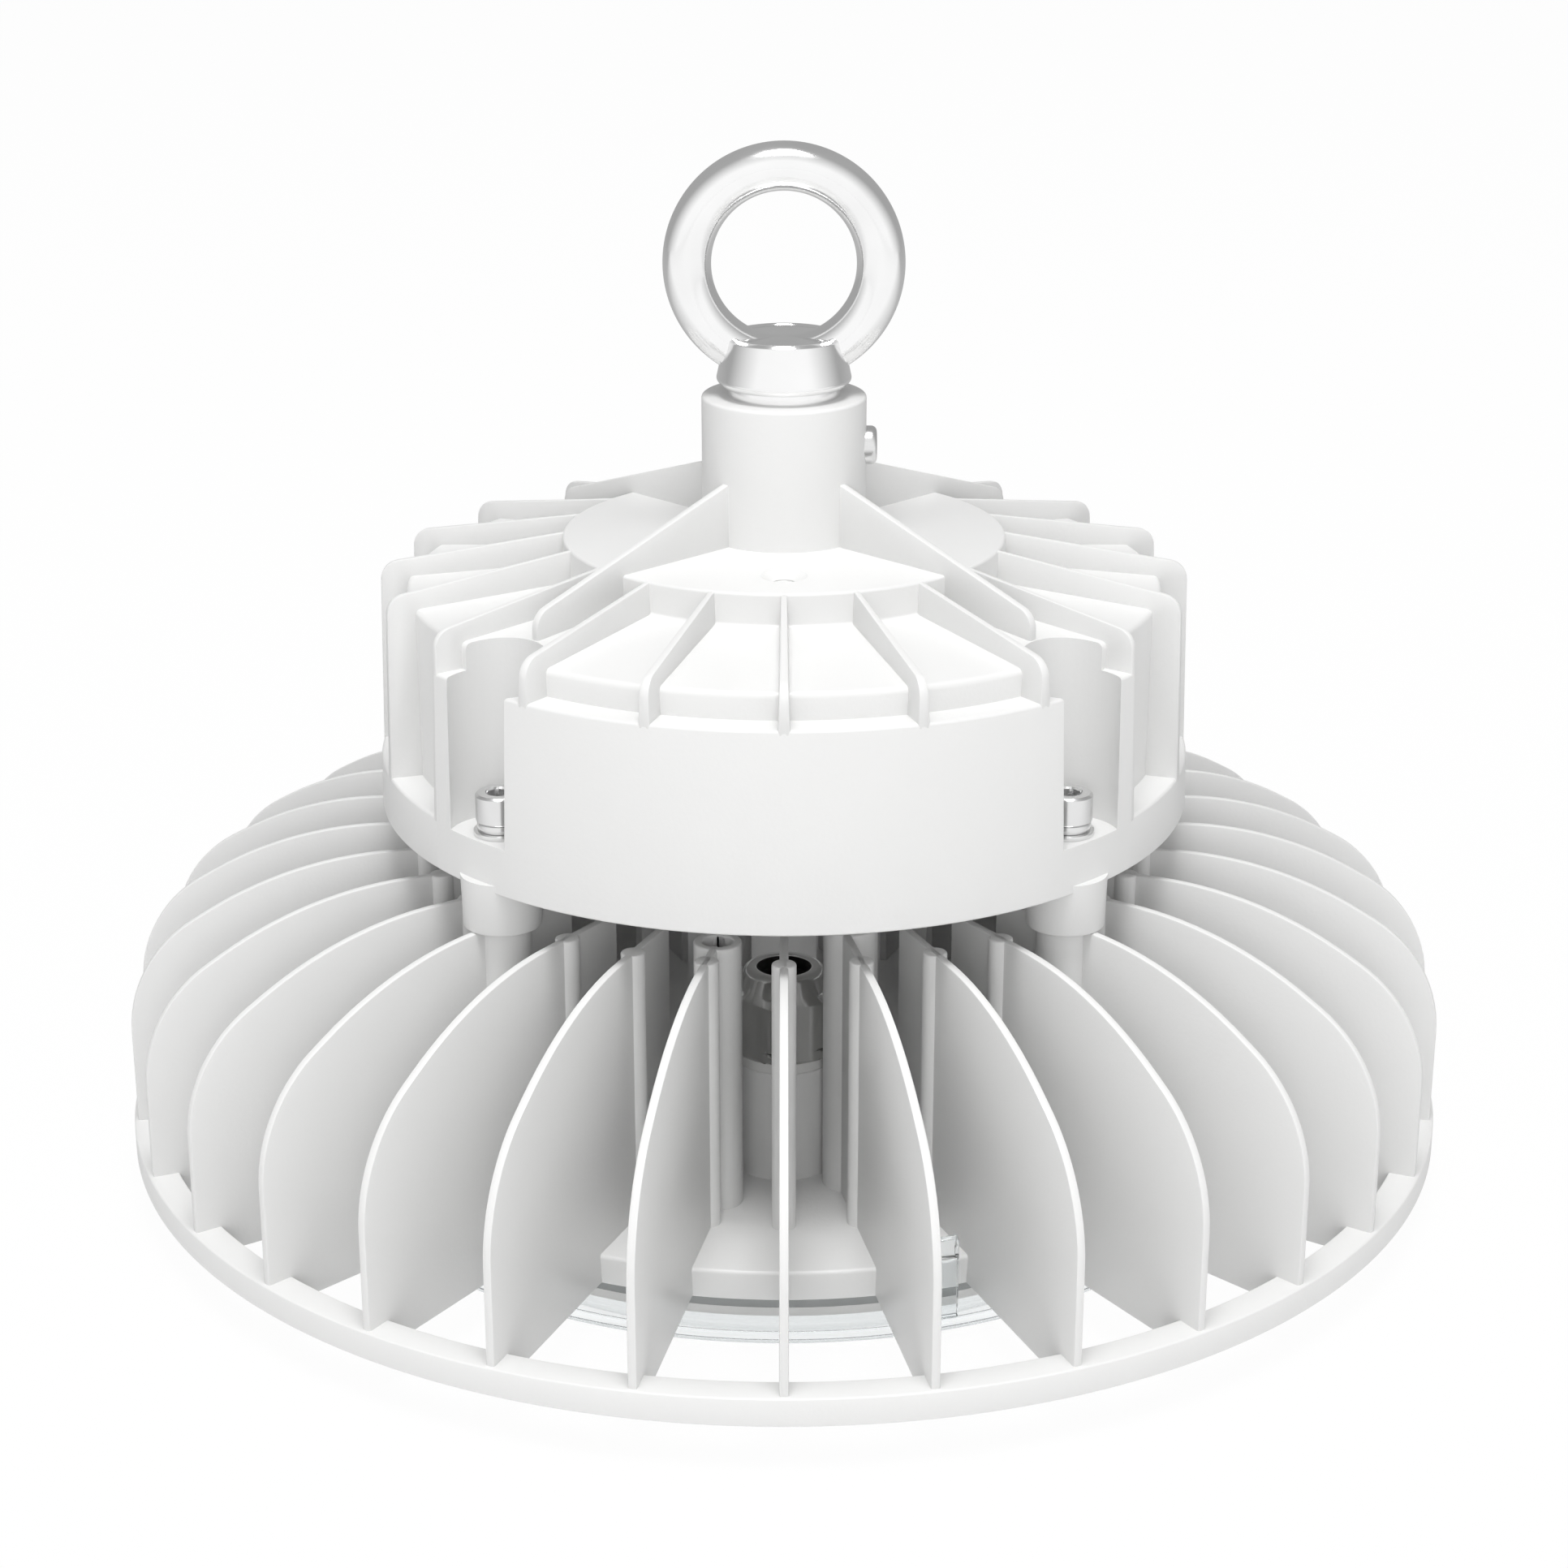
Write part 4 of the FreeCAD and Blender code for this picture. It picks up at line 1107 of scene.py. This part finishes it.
class HIGHBAY_OT_lens(bpy.types.Operator):
    """Clear lens cover with its clips, the optic plate, the seal and the lit board"""
    bl_idname = "highbay.lens"
    bl_label = "Lens And Board"

    def execute(self, context):
        s = context.scene.highbay_lens
        settle(self.cover(s), "clear_cover", "lens_cover")
        settle(self.optic(s), "clear_optic", "optic_plate")
        settle(self.packages(s), "led_package", "led_chips")
        dress("lens_gasket", finish("grey_rubber"))
        dress("led_board", finish("board_mask"))
        dress("thermal_pad", finish("pad_grey"))
        dress("board_screws", finish("steel_screw"))
        dress("terminal_block", finish("white_plastic"))
        return {"FINISHED"}

    def cover(self, s):
        """Dished window with its stepped flange, and the clips that hook over the base disc."""
        clear = finish("clear_cover")
        flange_top = s.window_drop + s.flange_height
        step_z = flange_top - s.step_height
        soft = 0.25 * MM
        inside = s.window_radius - s.wall
        dish = lathe([(0.0, 0.0), (s.window_radius, 0.0, 3 * soft),
                      (s.window_radius, s.window_drop, soft),
                      (s.flange_radius, s.window_drop, soft), (s.flange_radius, step_z, soft),
                      (s.step_radius, step_z),
                      (s.step_radius, flange_top, soft), (inside, flange_top, soft),
                      (inside, s.wall, soft), (0.0, s.wall)], 240, steps=4)
        heatsink = bpy.context.scene.highbay_heatsink
        base_top = heatsink.base_z + heatsink.disc_height
        inner = heatsink.disc_radius + s.clip_gap
        outer = inner + s.clip_thickness
        hook = inner - s.clip_hook
        hook_z = base_top + s.clip_gap
        top = base_top + s.clip_rise
        blank = blade([(inner, flange_top - soft), (outer, flange_top - soft),
                       (outer, top, 1.5 * MM), (inner, top, 0.7 * MM),
                       (hook, hook_z + s.clip_rise / 3), (hook, hook_z), (inner, hook_z)],
                      s.clip_width)
        clip = spun("clips", [blank], s.clip_count, s.clip_angle, clear)
        soften(clip, soft)
        return smooth(joined("lens", [piece_of("dish", [dish], clear), clip]))

    def optic(self, s):
        """Flat plate in front of the packages, with a raised rim."""
        bottom = low("optic_plate").z * MM
        top = high("optic_plate").z * MM
        outer = high("optic_plate").x * MM
        inside = outer - s.optic_rim
        face = bottom + s.optic_wall
        soft = 0.25 * MM
        plate = lathe([(0.0, bottom), (outer, bottom, soft), (outer, top, soft),
                       (inside, top, soft), (inside, face, soft), (0.0, face)], 240, steps=3)
        return smooth(piece_of("optic", [plate], finish("clear_optic")))

    def packages(self, s):
        """Light packages in rings, as many on each as the pitch allows in fours."""
        yellow = finish("led_package")
        bottom = low("led_chips").z * MM
        top = high("led_chips").z * MM
        half = s.package_size / 2
        soft = 0.2 * MM
        rings = []
        for ring in range(s.package_rings):
            radius = s.package_first + ring * s.package_step
            count = 4 * round(math.tau * radius / s.package_pitch / 4)
            body = blade([(radius - half, bottom, soft), (radius + half, bottom, soft),
                          (radius + half, top), (radius - half, top)], s.package_size, 0.0, 1)
            rings.append(spun("ring", [body], count, 0.0, yellow))
        return smooth(joined("light_packages", rings))


# ---- fasteners ----------------------------------------------------------------------------


class HIGHBAY_OT_fasteners(bpy.types.Operator):
    """Mounting screws with their washers, the stem's lock screw and the hidden screws"""
    bl_idname = "highbay.fasteners"
    bl_label = "Fasteners"

    def execute(self, context):
        s = context.scene.highbay_fasteners
        steel = finish("bright_steel")
        at = (0.0, -s.pitch)
        kinds = (("mounting_screws", "screws", self.cap_screw(s, at)),
                 ("spring_washers", "spring_rings", [self.split_ring(s, at)]),
                 ("flat_washers", "flat_rings", [self.flat_ring(s, at)]))
        for node, name, solids in kinds:
            ring = spun(name, solids, s.count, s.angle, steel)
            settle(smooth(ring), "bright_steel", node)
        self.lock_screw(s, steel)
        dress("driver_plate_screws", finish("steel_screw"))
        return {"FINISHED"}

    def cap_screw(self, s, at):
        """Round head with a sunk hexagon socket, and the shank."""
        top = high("mounting_screws").z * MM
        under = top - s.head_height
        head, socket = s.head / 2, s.socket / 2
        edge, rounding = 0.6 * MM, 0.3 * MM
        corners = [(0.0, under), (head - 0.3 * MM, under, 0.2 * MM), (head, under + 0.4 * MM),
                   (head, top - edge, rounding), (head - edge, top, rounding),
                   (socket + 0.5 * MM, top), (socket, top - 0.4 * MM),
                   (socket, top - s.socket_depth), (0.0, top - s.socket_depth - 0.5 * MM)]
        solid = lathe(corners, 96, at=at, steps=3, radius_of=socket_radius(s.socket))
        bottom = low("mounting_screws").z * MM
        return [solid, rod(s.shank / 2, bottom, under + 0.2 * MM, 0.0, 32, at)]

    def split_ring(self, s, at):
        """Spring washer: one turn of square bar with its ends apart."""
        bottom = low("spring_washers").z * MM
        top = high("spring_washers").z * MM
        inner = s.shank / 2 + 0.1 * MM
        outer = s.spring_washer / 2
        soft = 0.45 * MM
        ring = lathe([(inner, bottom), (outer, bottom, soft), (outer, top, soft), (inner, top)],
                     60, math.tau - s.slit / outer, steps=2)
        return moved(ring, (at[0], at[1], 0.0))

    def flat_ring(self, s, at):
        bottom = low("flat_washers").z * MM
        top = high("flat_washers").z * MM
        hole = s.shank / 2 + 0.2 * MM
        outer = s.flat_washer / 2
        soft = 0.2 * MM
        return lathe([(hole, bottom), (outer, bottom, soft), (outer, top, soft), (hole, top)], 64,
                     at=at, steps=2)

    def lock_screw(self, s, steel):
        """Button head screw on the stem's right side."""
        box_low = low("stem_lock_screw") * MM
        box_high = high("stem_lock_screw") * MM
        centre = Vector((0.0, 0.0, (box_low.z + box_high.z) / 2))
        head, socket = s.lock_head / 2, s.lock_socket / 2
        top = box_high.x
        under = top - 3.2 * MM
        corners = [(0.0, under), (head, under), (head, top, 1.4 * MM), (socket + 0.4 * MM, top),
                   (socket, top - 0.3 * MM), (socket, top - 1.8 * MM), (0.0, top - 2.1 * MM)]
        verts, faces = lathe(corners, 96, steps=6, radius_of=socket_radius(s.lock_socket))
        lay = Matrix.Rotation(math.pi / 2, 3, "Y")
        verts = [tuple(lay @ Vector(vert) + centre) for vert in verts]
        screw = smooth(piece_of("lock_screw", [(verts, faces)], steel))
        settle(screw, "bright_steel", "stem_lock_screw")


# ---- inner pieces -------------------------------------------------------------------------


class HIGHBAY_OT_inside(bpy.types.Operator):
    """Finishes of the driver, its gasket and its cable bush"""
    bl_idname = "highbay.inside"
    bl_label = "Inner Pieces"

    def execute(self, context):
        dress("driver_unit", finish("driver_case"))
        dress("driver_gasket", finish("grey_rubber"))
        dress("cable_bush", finish("black_rubber"))
        return {"FINISHED"}


# ---- stage --------------------------------------------------------------------------------


class HIGHBAY_OT_stage(bpy.types.Operator):
    """Pale floor, soft lamps, white surroundings and the camera"""
    bl_idname = "highbay.stage"
    bl_label = "Stage"

    def execute(self, context):
        s = context.scene.highbay_stage
        self.floor(s)
        self.world(s)
        self.lamp("key", (0.0, -0.6, 2.35), s.key_power)
        self.lamp("fill", (0.0, -2.4, 0.6), s.fill_power).visible_glossy = False
        self.camera(context, s)
        context.scene.view_settings.view_transform = "Standard"
        return {"FINISHED"}

    def floor(self, s):
        half = s.floor_width / 2
        corners = [(-half, -half, 0.0), (half, -half, 0.0), (half, half, 0.0), (-half, half, 0.0)]
        mesh = bpy.data.meshes.new("floor")
        mesh.from_pydata(corners, [], [[0, 1, 2, 3]])
        floor = bpy.data.objects.new("floor", mesh)
        bpy.context.scene.collection.objects.link(floor)
        mesh.materials.append(self.floor_paint(s))

    def floor_paint(self, s):
        """Pale matt paint with a faint shadow, near white to the eye; in reflections a painted
        tent, where the floor glows brighter at the front than at the back.
        """
        seen_white = 0.96
        mirrored = 0.8
        reach = 0.3
        material = bpy.data.materials.new("floor_paint")
        material.use_nodes = True
        wiring = Wiring(material.node_tree)
        nodes = material.node_tree.nodes
        paint = nodes["Principled BSDF"]
        wiring.feed_all(paint, {"Base Color": (0.86, 0.86, 0.86, 1.0), "Roughness": 0.9,
                                "Specular IOR Level": 0.1})
        place = wiring.parts(wiring.add("ShaderNodeNewGeometry").outputs["Position"])
        # painted reflection: for reflection rays the floor glows, bright in front and dimmer
        # behind
        shade = wiring.spread(place["Y"], -reach, reach, s.tent_front, s.tent_back)
        glossy, direct = wiring.sight()
        reflected = wiring.mixed(wiring.maths("MULTIPLY", glossy, mirrored), paint,
                                 wiring.glow("ShaderNodeEmission", shade))
        seen = wiring.mixed(wiring.maths("MULTIPLY", direct, seen_white), reflected,
                            wiring.glow("ShaderNodeEmission", 1.0))
        wiring.feed(nodes["Material Output"].inputs["Surface"], seen)
        return material

    def world(self, s):
        """White to the eye, a tent with a greyer back in reflections, and a soft dome of light."""
        to_front, to_top = -0.64, 0.77
        tent_rise = 0.5
        world = bpy.data.worlds.new("surroundings")
        bpy.context.scene.world = world
        world.use_nodes = True
        wiring = Wiring(world.node_tree)
        nodes = world.node_tree.nodes
        way = wiring.parts(wiring.add("ShaderNodeTexCoord").outputs["Generated"])
        towards = wiring.maths("ADD", wiring.maths("MULTIPLY", way["Y"], to_front),
                               wiring.maths("MULTIPLY", way["Z"], to_top))
        dome = nodes["Background"]
        level = wiring.spread(towards, -0.3, 1.0, s.world_low, s.world_high)
        wiring.feed_all(dome, {"Color": WHITE, "Strength": level})
        back = wiring.maths("ADD", way["Y"], wiring.maths("MULTIPLY", way["Z"], tent_rise))
        shade = wiring.spread(back, -0.6, 0.35, s.tent_front, s.tent_back)
        glossy, direct = wiring.sight()
        lit = wiring.mixed(glossy, dome, wiring.glow("ShaderNodeBackground", shade))
        seen = wiring.mixed(direct, lit, wiring.glow("ShaderNodeBackground", 1.0))
        wiring.feed(nodes["World Output"].inputs["Surface"], seen)

    def lamp(self, name, place, power):
        """Round soft lamp of one metre that looks at the light."""
        data = bpy.data.lights.new(name, "AREA")
        data.shape = "DISK"
        data.size = 1.0
        data.energy = power
        lamp = bpy.data.objects.new(name, data)
        lamp.location = place
        aim = Vector((0.0, 0.0, 0.1)) - Vector(place)
        lamp.rotation_euler = aim.to_track_quat("-Z", "Y").to_euler()
        bpy.context.scene.collection.objects.link(lamp)
        return lamp

    def camera(self, context, s):
        data = bpy.data.cameras.new("camera")
        data.sensor_width = 36.0
        data.lens = s.lens
        camera = bpy.data.objects.new("camera", data)
        camera.location = (0.0, -s.camera_distance, s.camera_height)
        camera.rotation_euler = (s.camera_pitch, 0.0, 0.0)
        context.scene.collection.objects.link(camera)
        context.scene.camera = camera


# ---- panel and registration ---------------------------------------------------------------
STEPS = (HIGHBAY_OT_heatsink, HIGHBAY_OT_housing, HIGHBAY_OT_eye, HIGHBAY_OT_gland,
         HIGHBAY_OT_lens, HIGHBAY_OT_fasteners, HIGHBAY_OT_inside, HIGHBAY_OT_stage)
GROUPS = {"highbay_heatsink": HeatsinkSizes, "highbay_housing": HousingSizes,
          "highbay_eye": EyeSizes, "highbay_gland": GlandSizes, "highbay_lens": LensSizes,
          "highbay_fasteners": FastenerSizes, "highbay_finish": Finish,
          "highbay_stage": StageSizes}


class HIGHBAY_PT_panel(bpy.types.Panel):
    """Steps that make the light, in order"""
    bl_idname = "HIGHBAY_PT_panel"
    bl_label = "High Bay Light"
    bl_space_type = "VIEW_3D"
    bl_region_type = "UI"
    bl_category = "High Bay Light"

    def draw(self, context):
        for step in STEPS:
            self.layout.operator(step.bl_idname)


def register():
    for name, group in GROUPS.items():
        bpy.utils.register_class(group)
        setattr(bpy.types.Scene, name, PointerProperty(type=group))
    for step in STEPS:
        bpy.utils.register_class(step)
    bpy.utils.register_class(HIGHBAY_PT_panel)


def unregister():
    bpy.utils.unregister_class(HIGHBAY_PT_panel)
    for step in reversed(STEPS):
        bpy.utils.unregister_class(step)
    for name, group in GROUPS.items():
        delattr(bpy.types.Scene, name)
        bpy.utils.unregister_class(group)


def main():
    register()
    for step in STEPS:
        family, action = step.bl_idname.split(".")
        getattr(getattr(bpy.ops, family), action)()


if __name__ == "__main__":
    main()
